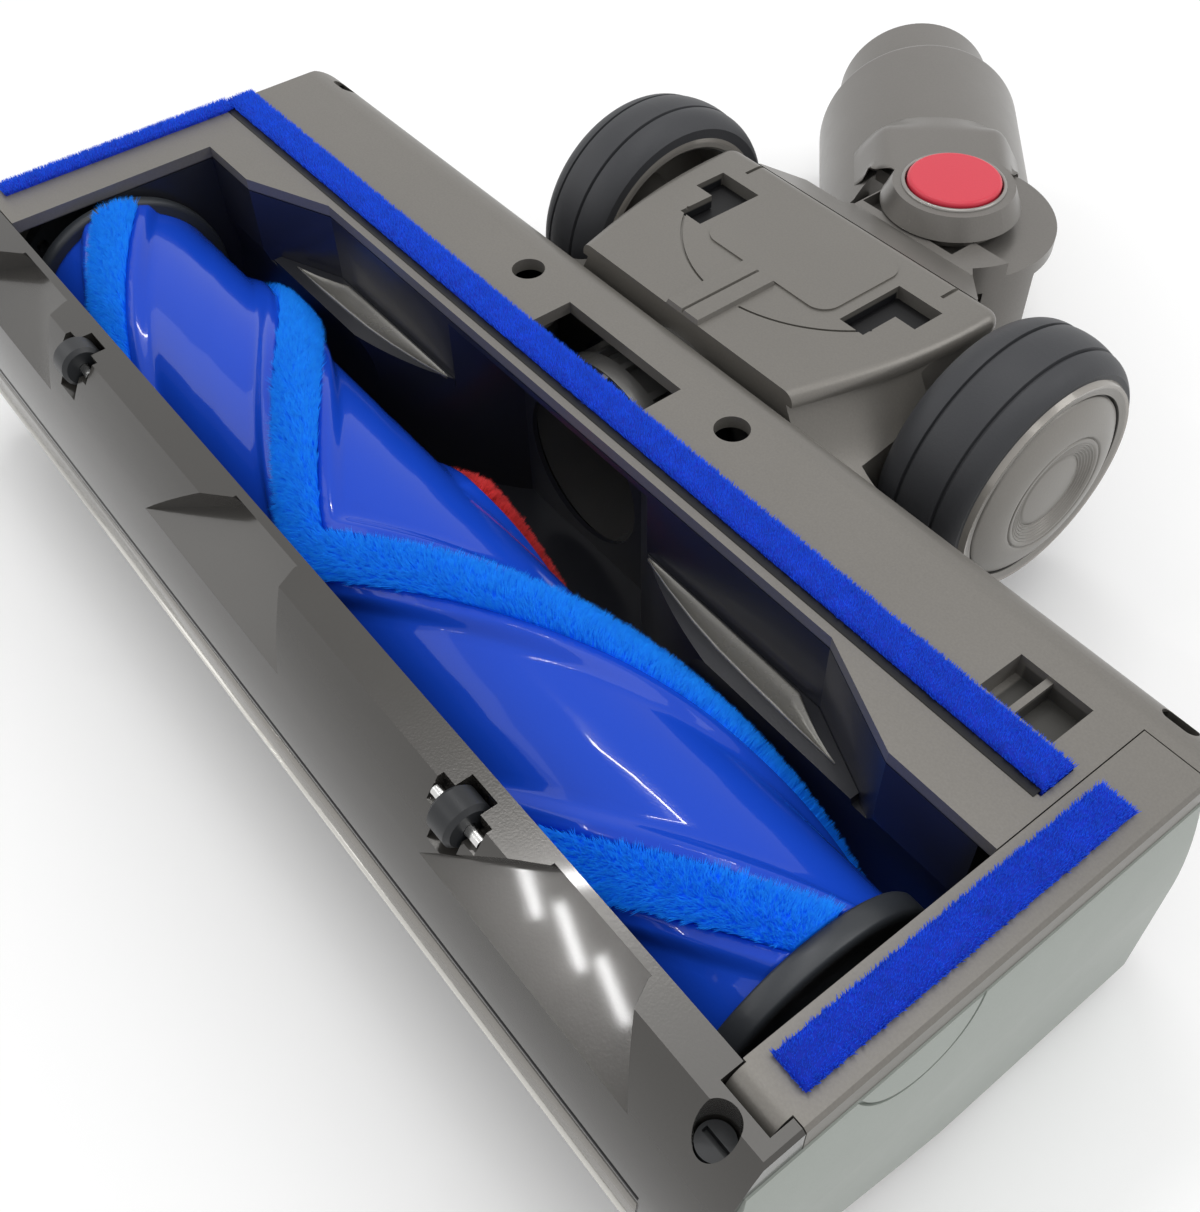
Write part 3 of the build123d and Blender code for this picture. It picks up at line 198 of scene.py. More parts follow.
def build_moulded_skin():
    """Moulded plastic: broad cloudiness, fine flake and grain, and faint rubbed patches in the gloss."""
    tree, inp, out = new_group(
        "moulded_skin",
        [("NodeSocketVector", "Vector", None), ("NodeSocketColor", "Colour", (0.2, 0.2, 0.2, 1.0)),
         ("NodeSocketFloat", "Flake", 0.1), ("NodeSocketFloat", "Cloud", 0.08),
         ("NodeSocketFloat", "Gloss Low", 0.3), ("NodeSocketFloat", "Gloss High", 0.45)],
        [("NodeSocketColor", "Colour"), ("NodeSocketFloat", "Roughness"), ("NodeSocketFloat", "Height")])
    broad = noise_node(tree, inp.outputs["Vector"], 38.0, 3.0)
    grain = noise_node(tree, inp.outputs["Vector"], 2600.0, 1.0)
    rubbed = noise_node(tree, inp.outputs["Vector"], 120.0, 4.0, 0.65)
    cloud = math_node(tree, "MULTIPLY", math_node(tree, "SUBTRACT", broad, 0.5), inp.outputs["Cloud"])
    fleck = math_node(tree, "MULTIPLY", math_node(tree, "SUBTRACT", grain, 0.5), inp.outputs["Flake"])
    tone = math_node(tree, "ADD", math_node(tree, "ADD", cloud, fleck), 1.0)
    tree.links.new(tint(tree, inp.outputs["Colour"], tone), out.inputs["Colour"])
    span = math_node(tree, "SUBTRACT", inp.outputs["Gloss High"], inp.outputs["Gloss Low"])
    gloss = math_node(tree, "ADD", math_node(tree, "MULTIPLY", rubbed, span), inp.outputs["Gloss Low"])
    tree.links.new(gloss, out.inputs["Roughness"])
    tree.links.new(grain, out.inputs["Height"])
    return tree


def build_pile_tone():
    """Cut pile: dark at the root, bright at the tip, as painted shade in the depth of the pile; each fibre a
    little different, brushed in patches.
    """
    tree, inp, out = new_group(
        "pile_tone",
        [("NodeSocketVector", "Vector", None), ("NodeSocketColor", "Root", (0, 0, 0.2, 1)),
         ("NodeSocketColor", "Tip", (0, 0, 1, 1)), ("NodeSocketFloat", "Spread", 0.3)],
        [("NodeSocketColor", "Colour")])
    height = attribute_node(tree, "pile_height")
    colour = mix_node(tree, "RGBA", height, inp.outputs["Root"], inp.outputs["Tip"])
    fibre = math_node(tree, "MULTIPLY", attribute_node(tree, "pile_shade"), FIBRE_SHARE)
    patch = noise_node(tree, inp.outputs["Vector"], 420.0, 3.0)
    mean = FIBRE_SHARE / 2 + 0.5
    vary = math_node(tree, "SUBTRACT", math_node(tree, "ADD", fibre, patch), mean)
    tone = math_node(tree, "ADD", math_node(tree, "MULTIPLY", vary, inp.outputs["Spread"]), 1.0)
    tree.links.new(tint(tree, colour, tone), out.inputs["Colour"])
    return tree


def between(tree, value, low, high, soft):
    """One where a value socket in metres is in the range low to high, zero outside it, with soft edges; the
    range and the edge are in millimetres."""
    slope = 1.0 / (soft * MM)
    rise = math_node(tree, "MULTIPLY", math_node(tree, "SUBTRACT", value, low * MM), slope, True)
    fall = math_node(tree, "MULTIPLY", math_node(tree, "SUBTRACT", high * MM, value), slope, True)
    return math_node(tree, "MULTIPLY", rise, fall)


def build_box_mask(name, box, both_sides=False):
    """Mask of the faces inside a box of x, y and z ranges; on both sides of the middle if it is asked."""
    tree, inp, out = new_group(name, [("NodeSocketVector", "Vector", None)], [("NodeSocketFloat", "Mask")])
    x, y, z = axes_of(tree, inp.outputs["Vector"])
    if both_sides:
        x = math_node(tree, "ABSOLUTE", x)
    in_x, in_y, in_z = (between(tree, axis, *limits, BOX_SOFT) for axis, limits in zip((x, y, z), box))
    mask = math_node(tree, "MULTIPLY", math_node(tree, "MULTIPLY", in_x, in_y), in_z)
    tree.links.new(mask, out.inputs["Mask"])
    return tree


def build_wheel_bands():
    """Masks by distance from the wheel axle: the rim, glossier and lighter as painted highlight, and inside it a
    thin dark line of painted shade where the disc meets the rim.
    """
    tree, inp, out = new_group("wheel_bands", [("NodeSocketVector", "Vector", None)],
                               [("NodeSocketFloat", "Rim"), ("NodeSocketFloat", "Line")])
    _, y, z = axes_of(tree, inp.outputs["Vector"])
    y = math_node(tree, "SUBTRACT", y, AXLE[0] * MM)
    z = math_node(tree, "SUBTRACT", z, AXLE[1] * MM)
    square = math_node(tree, "ADD", math_node(tree, "MULTIPLY", y, y), math_node(tree, "MULTIPLY", z, z))
    radius = math_node(tree, "SQRT", square)
    tree.links.new(between(tree, radius, *RIM_GLOSS_AND_HIGHLIGHT, RIM_SOFT), out.inputs["Rim"])
    tree.links.new(between(tree, radius, *GROOVE_SHADE_BAND, GROOVE_SHADE_SOFT), out.inputs["Line"])
    return tree


moulded_skin = build_moulded_skin()
pile_tone = build_pile_tone()
mouth_wall = build_box_mask("mouth_wall", MOUTH_WALL)
tray_inside = build_box_mask("tray_inside", TRAY_INSIDE)
pocket_shade = build_box_mask("pocket_shade", POCKET_SHADE_BOX, both_sides=True)
wheel_bands = build_wheel_bands()


# Materials

def new_material(name):
    """A node material with its Principled BSDF and an Object coordinate source."""
    mat = bpy.data.materials.new(name)
    mat.use_nodes = True
    tree = mat.node_tree
    tree.nodes.clear()
    out = tree.nodes.new("ShaderNodeOutputMaterial")
    bsdf = tree.nodes.new("ShaderNodeBsdfPrincipled")
    tree.nodes.new("ShaderNodeTexCoord")
    tree.links.new(bsdf.outputs["BSDF"], out.inputs["Surface"])
    return mat, tree, bsdf


def find_node(tree, kind):
    """The first node of a kind in a material."""
    return next(node for node in tree.nodes if node.type == kind)


def place_group(tree, group, values):
    """Puts a shader group into a material, on its Object coordinates, and sets its own values."""
    node = tree.nodes.new("ShaderNodeGroup")
    node.node_tree = group
    tree.links.new(find_node(tree, "TEX_COORD").outputs["Object"], node.inputs["Vector"])
    set_inputs(node, values)
    return node


def add_bump(tree, bsdf, height, strength):
    """Feeds a height socket to the shader's normal through a Bump node."""
    bump = tree.nodes.new("ShaderNodeBump")
    set_inputs(bump, {"Strength": strength, "Distance": GRAIN_DEPTH * MM})
    tree.links.new(height, bump.inputs["Height"])
    tree.links.new(bump.outputs["Normal"], bsdf.inputs["Normal"])


def plastic(name, code, gloss, flake=0.12, cloud=0.10, metallic=0.0, coat=0.0, coat_rough=0.1, grain=0.05,
            specular=0.5):
    """Moulded plastic in one colour, with its own gloss range, flake and grain."""
    mat, tree, bsdf = new_material(name)
    skin = place_group(tree, moulded_skin, {"Colour": linear(code), "Flake": flake, "Cloud": cloud,
                                            "Gloss Low": gloss[0], "Gloss High": gloss[1]})
    tree.links.new(skin.outputs["Colour"], bsdf.inputs["Base Color"])
    tree.links.new(skin.outputs["Roughness"], bsdf.inputs["Roughness"])
    set_inputs(bsdf, {"Metallic": metallic, "Specular IOR Level": specular, "Coat Weight": coat,
                      "Coat Roughness": coat_rough})
    add_bump(tree, bsdf, skin.outputs["Height"], grain)
    return mat


def paint(mat, group, output, code, rough=None):
    """Lays a second colour, and a second roughness, over a plastic where an output of a mask group is one."""
    tree = mat.node_tree
    bsdf = find_node(tree, "BSDF_PRINCIPLED")
    mask = place_group(tree, group, {}).outputs[output]
    for kind, label, over in (("RGBA", "Base Color", linear(code)), ("FLOAT", "Roughness", rough)):
        if over is not None:
            under = bsdf.inputs[label].links[0].from_socket
            tree.links.new(mix_node(tree, kind, mask, under, over), bsdf.inputs[label])


def pile(name, root, tip, spread, sheen, sheen_weight=0.5, painted_glow=0.0):
    """Cut fibre pile in one colour, with sheen of its own tint and a faint painted glow: an emission in the root
    colour that makes it brighter than the lamps alone would.
    """
    mat, tree, bsdf = new_material(name)
    tone = place_group(tree, pile_tone, {"Root": linear(root), "Tip": linear(tip), "Spread": spread})
    tree.links.new(tone.outputs["Colour"], bsdf.inputs["Base Color"])
    # painted glow: the Emission Strength makes the pile shine a little by itself
    set_inputs(bsdf, {"Roughness": 0.7, "Specular IOR Level": 0.25, "Sheen Weight": sheen_weight,
                      "Sheen Roughness": 0.4, "Sheen Tint": linear(sheen), "Emission Color": linear(root),
                      "Emission Strength": painted_glow})
    return mat


sole_grey = plastic("sole_grey", "75726d", (0.34, 0.46), flake=0.22, metallic=0.35, specular=0.35)
visor_gloss = plastic("visor_gloss", "413f3c", (0.16, 0.24), flake=0.10, metallic=0.35, coat=0.4, coat_rough=0.05,
                      specular=0.4)
panel_grey = plastic("panel_grey", "969c96", (0.36, 0.46), flake=0.08, metallic=0.1, specular=0.35)
housing_grey = plastic("housing_grey", "5e5c59", (0.34, 0.46), flake=0.15, metallic=0.3, specular=0.35)
shelf_grey = plastic("shelf_grey", "7f7d77", (0.22, 0.32), flake=0.10, metallic=0.3, specular=0.35)
liner_black = plastic("liner_black", "222328", (0.26, 0.38), flake=0.05, coat=0.12, coat_rough=0.06)
core_blue = plastic("core_blue", "1746c2", (0.10, 0.16), flake=0.05, cloud=0.06, coat=0.30, coat_rough=0.02,
                    specular=0.08)
hub_black = plastic("hub_black", "303337", (0.32, 0.46), flake=0.10, specular=0.4)
roller_black = plastic("roller_black", "1e2023", (0.34, 0.48), flake=0.10, specular=0.4)
cage_grey = plastic("cage_grey", "6c6b69", (0.18, 0.28), flake=0.10, metallic=0.6)
carriage_grey = plastic("carriage_grey", "75726d", (0.28, 0.38), flake=0.18, metallic=0.4, specular=0.35)
neck_grey = plastic("neck_grey", "74716d", (0.26, 0.36), flake=0.16, metallic=0.4, specular=0.35)
wheel_grey = plastic("wheel_grey", "85827d", (0.30, 0.40), flake=0.10, metallic=0.25, specular=0.35)
tyre_black = plastic("tyre_black", "38393c", (0.44, 0.58), flake=0.10, grain=0.12, specular=0.3)
steel = plastic("steel", "d4d4d2", (0.12, 0.26), flake=0.06, metallic=1.0)
motor_metal = plastic("motor_metal", "9a9a9c", (0.30, 0.42), metallic=1.0)
board_green = plastic("board_green", "1c6a3c", (0.30, 0.42))
button_red = plastic("button_red", "cf3446", (0.30, 0.40), flake=0.06, cloud=0.05, coat=0.15, coat_rough=0.2,
                     specular=0.3)
trim_grey = plastic("trim_grey", "8a8782", (0.14, 0.24), flake=0.06, metallic=0.6, coat=0.3, coat_rough=0.05)
rim_grey = plastic("rim_grey", "8f8c88", (0.20, 0.30), flake=0.08, metallic=0.5)
# painted highlight: a near-white colour for the bright line along the visor's foot
bead_painted_highlight = plastic("bead_painted_highlight", "d8d6d0", (0.12, 0.20), flake=0.04, metallic=0.5)
# painted shade: flat black for strips and sheets that stand for shaded gaps, namely the visor's joint line, the
# groove before the rear velvet and the carriage plate's windows
painted_shade_black = plastic("painted_shade_black", "0d0d0f", (0.40, 0.55), flake=0.08, specular=0.3)
# painted shade: each pile's root colour is darker than its tip colour
bristle_blue = pile("bristle_blue", "0670ff", "0a94ff", 0.50, "1880ff", 1.0, painted_glow=0.15)
bristle_red = pile("bristle_red", "c81a22", "ff4646", 0.45, "ff5a5a")
velvet_blue = pile("velvet_blue", "0526b4", "145ef8", 0.60, "2456ff")

paint(sole_grey, mouth_wall, "Mask", "2a2a31", 0.48)
paint(sole_grey, tray_inside, "Mask", "454441", 0.40)
# painted shade on the walls of the carriage plate's windows
paint(carriage_grey, pocket_shade, "Mask", "202124", 0.45)
# painted highlight: the lighter rim colour; the lower roughness is the rim's real gloss
paint(wheel_grey, wheel_bands, "Rim", "99958f", 0.16)
# painted shade: a dark line in the groove where the disc meets the rim
paint(wheel_grey, wheel_bands, "Line", "2a2927")

FINISH = {
    sole_grey: ("sole_plate", "end_cap"),
    visor_gloss: ("front_visor",),
    panel_grey: ("end_cap_panel", "left_side_panel"),
    housing_grey: ("main_housing",),
    liner_black: ("chamber_liner", "chamber_shelf"),
    hub_black: ("drive_coupling", "motor_flange", "collar_clip"),
    roller_black: ("roller_left", "roller_right", "coin_lock"),
    cage_grey: ("duct_collar",),
    carriage_grey: ("carriage_plate", "carriage_frame"),
    neck_grey: ("neck_elbow", "neck_tube"),
    wheel_grey: ("hub_left", "hub_right"),
    tyre_black: ("tyre_left", "tyre_right"),
    steel: ("sole_screws", "roller_pin_left", "roller_pin_right", "wheel_axle", "swivel_pins"),
    motor_metal: ("brush_motor",),
    board_green: ("control_board",),
    button_red: ("release_button",),
}
for mat, names in FINISH.items():
    for name in names:
        nodes[name].data.materials.clear()
        nodes[name].data.materials.append(mat)


# Pieces: how a mesh is made

X_AXIS = np.array([[1.0, 0.0, 0.0]])
Y_AXIS = np.array([[0.0, 1.0, 0.0]])


def add_piece(name, verts, faces, mat, body, smooth=True, replaced=(), shell=False):
    """Makes a mesh piece from points in millimetres and puts it on its body. A closed shell gets its faces
    turned outwards."""
    mesh = bpy.data.meshes.new(name)
    mesh.from_pydata((verts * MM).tolist(), [], faces)
    if shell:
        work = bmesh.new()
        work.from_mesh(mesh)
        bmesh.ops.recalc_face_normals(work, faces=work.faces)
        work.to_mesh(mesh)
        work.free()
    mesh.materials.append(mat)
    mesh.polygons.foreach_set("use_smooth", np.full(len(mesh.polygons), smooth))
    mesh.update()
    piece = bpy.data.objects.new(name, mesh)
    bpy.context.scene.collection.objects.link(piece)
    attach(piece, body)
    if replaced:
        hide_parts(*replaced)
    return piece


def grid_faces(nu, nv, wrap_u=False, wrap_v=False):
    """Quads of a grid of nu by nv points; a wrap joins the last row or column to the first."""
    u, v = np.meshgrid(np.arange(nu if wrap_u else nu - 1), np.arange(nv if wrap_v else nv - 1), indexing="ij")
    next_u, next_v = (u + 1) % nu, (v + 1) % nv
    corners = [u * nv + v, u * nv + next_v, next_u * nv + next_v, next_u * nv + v]
    return np.stack(corners, -1).reshape(-1, 4).tolist()


def closed_grid(nu, nv):
    """Faces of a tube of nu rings with nv points each, and then a flat face on its first and its last ring."""
    ends = [list(range(nv)), list(range((nu - 1) * nv, nu * nv))]
    return grid_faces(nu, nv, wrap_v=True) + ends


def add_shell(name, rings, mat, body, smooth=True, replaced=()):
    """A closed piece through rings of points: an array of rings by points by x, y and z."""
    add_piece(name, rings.reshape(-1, 3), closed_grid(*rings.shape[:2]), mat, body, smooth, replaced, True)


def node_box(node):
    """Lowest and highest corner of a CAD node, in millimetres."""
    return [np.array(corner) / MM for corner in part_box(node)]


def ease(value, low, high):
    """Smooth step of a value from zero at low to one at high."""
    t = np.clip((value - low) / (high - low), 0, 1)
    return t * t * (3 - 2 * t)


def spun(profile, turns=96):
    """A profile of (distance along the axis, radius) points spun once round: rings of (along, across, up)."""
    along, radius = np.array(profile, float).T[:, :, None]
    turn = np.linspace(0, 2 * math.pi, turns, endpoint=False)
    across = radius * np.cos(turn)
    return np.stack([np.broadcast_to(along, across.shape), across, radius * np.sin(turn)], -1)


def run_along_x(ends, y, z):
    """A profile of (y, z) points carried along x: one ring at each end."""
    gx, gk = np.meshgrid(ends, np.arange(len(y)), indexing="ij")
    return np.stack([gx, y[gk], z[gk]], -1)


def thick(upper, depth):
    """A sheet of points made thick downwards: each ring goes out on the sheet and back below it."""
    return np.concatenate([upper, (upper - [0, 0, depth])[:, ::-1]], 1)


def fibres(root, tip, side_a, side_b, width, rng):
    """Thin three-sided spikes from root points to tip points: the base triangle lies in the plane of the two
    side vectors, turned by a random angle. Gives vertices, faces, height and shade."""
    n = len(root)
    turn = rng.uniform(0, 2 * math.pi, n)[:, None] + np.arange(3) * 2 * math.pi / 3
    spread = np.cos(turn)[:, :, None] * side_a[:, None] + np.sin(turn)[:, :, None] * side_b[:, None]
    verts = np.concatenate([root[:, None] + width * spread, tip[:, None]], 1).reshape(-1, 3)
    base = 4 * np.arange(n)[:, None]
    faces = np.concatenate([base + np.array(f) for f in ((0, 1, 3), (1, 2, 3), (2, 0, 3))])
    height = np.tile([FOOT_HEIGHT] * 3 + [1.0], n)
    shade = np.repeat(rng.uniform(0, 1, n), 4)
    return verts, faces, height, shade


def add_pile(node, mat_verts, mat_faces, spikes, mat, body, slot):
    """Puts fibres and the mat under them into one piece in a node's place, and stores each point's height in
    the pile and shade."""
    verts, faces, height, shade = spikes
    n = len(mat_verts)
    piece = add_piece(node + "_pile", np.concatenate([mat_verts, verts]), mat_faces + (faces + n).tolist(), mat,
                      body, replaced=(node,))
    for name, on_mat, values in (("pile_height", MAT_HEIGHT, height), ("pile_shade", MAT_SHADE, shade)):
        layer = piece.data.attributes.new(name, "FLOAT", "POINT")
        layer.data.foreach_set("value", np.concatenate([np.full(n, on_mat), values]).astype(np.float32))


# Pieces: the brush

def on_brush(x, angle, r):
    """A point of the brush at x, turned by an angle from +Z towards +Y, at a radius."""
    t = np.radians(angle)
    return np.stack([x, r * np.sin(t), BRUSH_Z + r * np.cos(t)], -1)


def brush_turn(x):
    """Angle by which the V of the strips has turned at x: TWIST per millimetre from a slightly rounded middle."""
    return TWIST * (np.sqrt(x * x + V_ROUND) - V_START)


def brush_core():
    """Moulded core: its radius depends on the angle from the nearest strip, with a channel under the strip,
    a rail on each side of it with a soft outer flank, and a plain round between; all turned along x."""
    x = np.linspace(-BRUSH_HALF, BRUSH_HALF, BRUSH_STEPS)
    half = np.array([0, 6, 10.2, 10.8, 11.2, 11.7, 12.3, 13.2, 15, 17, 18, 19.2, 20.5, 22, 23.5, 25, 27, 31, 38,
                     46, 54])
    off = np.concatenate([-half[:0:-1], half])
    angle = np.concatenate([start + off for start in sorted(STRIP_STARTS.values())])
    away = np.abs(np.tile(off, len(STRIP_STARTS)))
    rail = RAIL_RISE * ease(away, *RAIL_INSIDE) * (1 - ease(away, *RAIL_OUTSIDE))
    r = CHANNEL_R + (CORE_R - CHANNEL_R) * ease(away, *CHANNEL_EDGE) + rail
    gx, ga = np.meshgrid(x, angle, indexing="ij")
    add_shell("brush_core_moulded", on_brush(gx, ga + brush_turn(gx), r), core_blue, "brush",
              replaced=("brush_core",))


def brush_hub(side, name):
    """End hub turned about the brush axis: a profile of (x outwards, radius) with a rounded rim and a groove."""
    start, end = BRUSH_HALF, HUB_ENDS[side]
    profile = [(start - 0.2, 6.0), (start - 0.2, HUB_R - 1.0), (start, HUB_R - 0.3), (start + 0.4, HUB_R),
               (end - 0.6, HUB_R), (end - 0.2, HUB_R - 0.3), (end, HUB_R - 0.9), (end, HUB_R - 3.0),
               (end - 0.8, HUB_R - 3.4), (end - 0.8, 9.0), (end, 8.6), (end, 3.0)]
    rings = spun(profile) * [side, 1, 1] + [0, 0, BRUSH_Z]
    add_shell(name + "_turned", rings, hub_black, "brush", replaced=(name,))


def bristle_strip(name, mat, slot, seed):
    """V-shaped filament strip: a mat whose angle grows along x from the middle, rounded across its width,
    with spikes in small tufts that lean outwards towards its two edges. Roots and tips fall off from the
    strip's middle by a power of the way across."""
    rng = np.random.default_rng(seed)
    start = STRIP_STARTS[name]
    reach = BRUSH_HALF - STRIP_SHORT
    x = np.linspace(-reach, reach, BRUSH_STEPS)
    w = np.array([-1, -1, -0.92, -0.7, -0.35, 0, 0.35, 0.7, 0.92, 1, 1])
    low = CHANNEL_R + 0.2
    r = np.array([low, 21.2, 21.9, 22.4, 22.65, 22.7, 22.65, 22.4, 21.9, 21.2, low])
    gx, gw = np.meshgrid(x, w, indexing="ij")
    mat_verts = on_brush(gx, start + brush_turn(gx) + gw * STRIP_ANGLE * MAT_SHARE, r).reshape(-1, 3)
    *around, first, last = closed_grid(len(x), len(w))
    mat_faces = [face[::-1] for face in around] + [first, last[::-1]]
    n = BRISTLES
    fx = rng.uniform(-reach, reach, n)
    fw = rng.uniform(-1, 1, n)
    tuft = (((fx + reach) / TUFT_STEP).astype(int), ((fw + 1) * TUFT_ROWS).astype(int))
    tuft_shape = (int(2 * reach / TUFT_STEP) + 2, 2 * TUFT_ROWS + 1)
    tuft_x, tuft_w, tuft_r = [rng.normal(0, stray, tuft_shape)[tuft] for stray in TUFT_STRAY]
    stray_x, stray_w, stray_r = FIBRE_STRAY
    lean = SPLAY * fw + tuft_w + rng.normal(0, stray_w, n)
    root_r = ROOT_R + ROOT_CROWN * (1 - fw ** 4)
    tip_r = TIP_R - TIP_CROWN * np.abs(fw) ** 3.5 + tuft_r + rng.normal(0, stray_r, n)
    along = tuft_x + rng.normal(0, stray_x, n)
    turn = start + brush_turn(fx)
    root = on_brush(fx, turn + fw * STRIP_ANGLE, root_r)
    tip_x = np.clip(fx + along, -reach - STRIP_SHORT / 2, reach + STRIP_SHORT / 2)
    tip = on_brush(tip_x, turn + (fw + lean) * STRIP_ANGLE, np.minimum(tip_r, TIP_R + TIP_SPARE))
    t = np.radians(turn)
    across = np.stack([np.zeros(n), np.cos(t), -np.sin(t)], -1)
    spikes = fibres(root, tip, X_AXIS, across, BRISTLE_WIDTH, rng)
    add_pile(name, mat_verts, mat_faces, spikes, mat, "brush", slot)


# Pieces: the head

def velvet_back(low, size):
    """Backing of a velvet strip: a sheet that rises from its rim inwards to a flat top, with upright sides down
    to the low corner. Gives vertices and faces."""
    u, v = (np.array([0, 0, 0.5, rise, length - rise, length - 0.5, length, length])
            for length, rise in zip(size, (1.5, BACK_SLOPE)))
    gu, gv = np.meshgrid(u, v, indexing="ij")
    inner = np.minimum(np.minimum(gu, size[0] - gu), np.minimum(gv, size[1] - gv))
    gz = SOLE_Z + BACK_RIM + BACK_CROWN * np.clip(inner / BACK_SLOPE, 0, 1)
    gz[[0, -1], :] = low[2]
    gz[:, [0, -1]] = low[2]
    verts = np.stack([gu + low[0], gv + low[1], gz], -1).reshape(-1, 3)
    return verts, [face[::-1] for face in grid_faces(len(u), len(v))]


def velvet_strip(node, seed, fuller=0.0):
    """Short dense pile on a flat backing: spikes stand on the rectangle of the node's box, made fuller by a
    margin all round, and splay outwards near its rounded rim."""
    rng = np.random.default_rng(seed)
    low, high = node_box(node)
    low[:2] -= fuller
    high[:2] += fuller
    size = high - low
    n = int(size[0] * size[1] * VELVET_DENSITY)
    p = rng.uniform(0, 1, (n, 2)) * size[:2] + low[:2]
    near = np.minimum(p - low[:2], high[:2] - p)
    in_rim = np.clip(1 - near / VELVET_RIM, 0, 1)
    outward = np.where(p - low[:2] < high[:2] - p, -1.0, 1.0) * in_rim
    sideways, upwards = VELVET_STRAY
    root = np.column_stack([p, np.full(n, SOLE_Z + VELVET_ROOT)])
    top = high[2] - RIM_DROP * in_rim.max(1) ** 2 + rng.normal(0, upwards, n)
    tip = np.column_stack([p + outward * RIM_SPLAY + rng.normal(0, sideways, (n, 2)), top])
    spikes = fibres(root, tip, X_AXIS, Y_AXIS, VELVET_WIDTH, rng)
    add_pile(node, *velvet_back(low, size), spikes, velvet_blue, "head", "velvet_blue")


def velvet_shade_strip():
    """Thin black strip in front of the rear velvet, painted shade for the shaded groove along its front edge: a
    low strip with rounded long edges, run along x.
    """
    low, high = node_box("rear_velvet")
    y = low[1] + np.array([-1.7, -1.6, -1.3, -0.2, 0.3, 0.3])
    z = SOLE_Z + np.array([-0.4, 0.12, 0.25, 0.25, 0.2, -0.4])
    rings = run_along_x([low[0] + 0.4, high[0] - 0.4], y, z)
    add_shell("velvet_shade_strip", rings, painted_shade_black, "head", smooth=False)


def visor_band(name, rise, up_from, up_to, mat):
    """Band along the foot of the visor: a profile of heights above the arc of its face, run along x."""
    y0, z0, arc_r = VISOR_ARC
    angle = math.pi - np.linspace(up_from, up_to, len(rise)) / arc_r
    r = arc_r + np.array(rise)
    rings = run_along_x(VISOR_ENDS, y0 + r * np.cos(angle), z0 + r * np.sin(angle))
    add_shell(name, rings, mat, "head")


def ledge(side, name):
    """Leaf-shaped ledge on the chamber shelf: between a bowed front edge and a straight rear edge that bends
    to the tip, with a low rounded border; a function of the length and the way across."""
    x = np.array([31.2, 33.5, 38.5, 46.8, 54.0, 61.9, 68.6, 72.2, 75.9, 79.5, 81.6])
    front = np.array([33.2, 32.6, 31.5, 30.1, 29.3, 28.9, 28.7, 28.6, 28.6, 28.6, 28.5])
    rear = np.array([33.5, 33.6, 33.7, 33.8, 33.8, 33.8, 33.7, 32.0, 30.4, 29.2, 28.7])
    across = np.array([0, 0, 0.04, 0.10, 0.16, 0.5, 0.84, 0.90, 0.96, 1, 1])
    rise = np.array([-0.3, 0.25, 0.42, 0.42, 0.22, 0.2, 0.22, 0.42, 0.42, 0.25, -0.3])
    gk, gw = np.meshgrid(np.arange(len(x)), np.arange(len(across)), indexing="ij")
    y = front[gk] + (rear - front)[gk] * across[gw]
    add_shell(name, np.stack([side * x[gk], y, SHELF_Z + rise[gw]], -1), shelf_grey, "head")


# Pieces: the carriage, the wheels and the neck

def window_shade_sheet(side, name):
    """Dark sheet under a window of the carriage plate, painted shade where there is only the shaded hole down to
    the neck elbow: dished by the product of two parabolas, across and along."""
    middle_x, middle_y = 24.9, 95.8
    half_x, half_y = 6.0, 8.4
    dish, depth = 0.3, 0.35
    step = np.linspace(-1, 1, 9)
    gu, gv = np.meshgrid(step, step, indexing="ij")
    top = PLATE_UNDER + 0.05 - dish * (1 - gu ** 2) * (1 - gv ** 2)
    upper = np.stack([side * (middle_x + half_x * gu), middle_y + half_y * gv, top], -1)
    add_shell(name, thick(upper, depth), painted_shade_black, "carriage")


def hub_cap(side, name, body):
    """Wheel disc turned about the axle: a low dome, a cone of fine ridges (a cosine of the radius), a thin
    groove, and a crowned disc that falls away to the rim."""
    dome_r, dome_top, dome_fall = 7.3, 1.1, 0.5
    cone_from, cone_to, cone_low, cone_rise = 7.5, 10.8, 0.35, 1.25
    ridge_pitch, ridge_height = 0.55, 0.10
    disc_from, disc_to, disc_top, disc_fall = 12.3, 18.9, 1.72, 2.3
    dome = np.linspace(0.05, dome_r, 14)
    cone = np.linspace(cone_from, cone_to, 80)
    disc = np.linspace(disc_from, disc_to, 14)
    ridges = ridge_height * np.cos(2 * math.pi * cone / ridge_pitch)
    cone_out = cone_low + cone_rise * (cone - cone_from) / (cone_to - cone_from) + ridges
    disc_out = disc_top - disc_fall * ((disc - disc_from) / (disc_to - disc_from)) ** 1.9
    groove = [(1.70, 11.0), (1.72, 11.5), (1.62, 11.68), (1.25, 11.75), (1.25, 11.98), (1.66, 12.08)]
    rim = [(-0.9, 19.0), (-1.15, 19.0)]
    profile = np.concatenate([np.column_stack([dome_top - dome_fall * (dome / dome_r) ** 2, dome]),
                              np.column_stack([cone_out, cone]), groove, np.column_stack([disc_out, disc]), rim])
    rings = (spun(profile) + [WHEEL_FACE, 0, 0]) * [side, 1, 1] + [0, *AXLE]
    add_shell(name + "_turned", rings, wheel_grey, body, replaced=(name,))


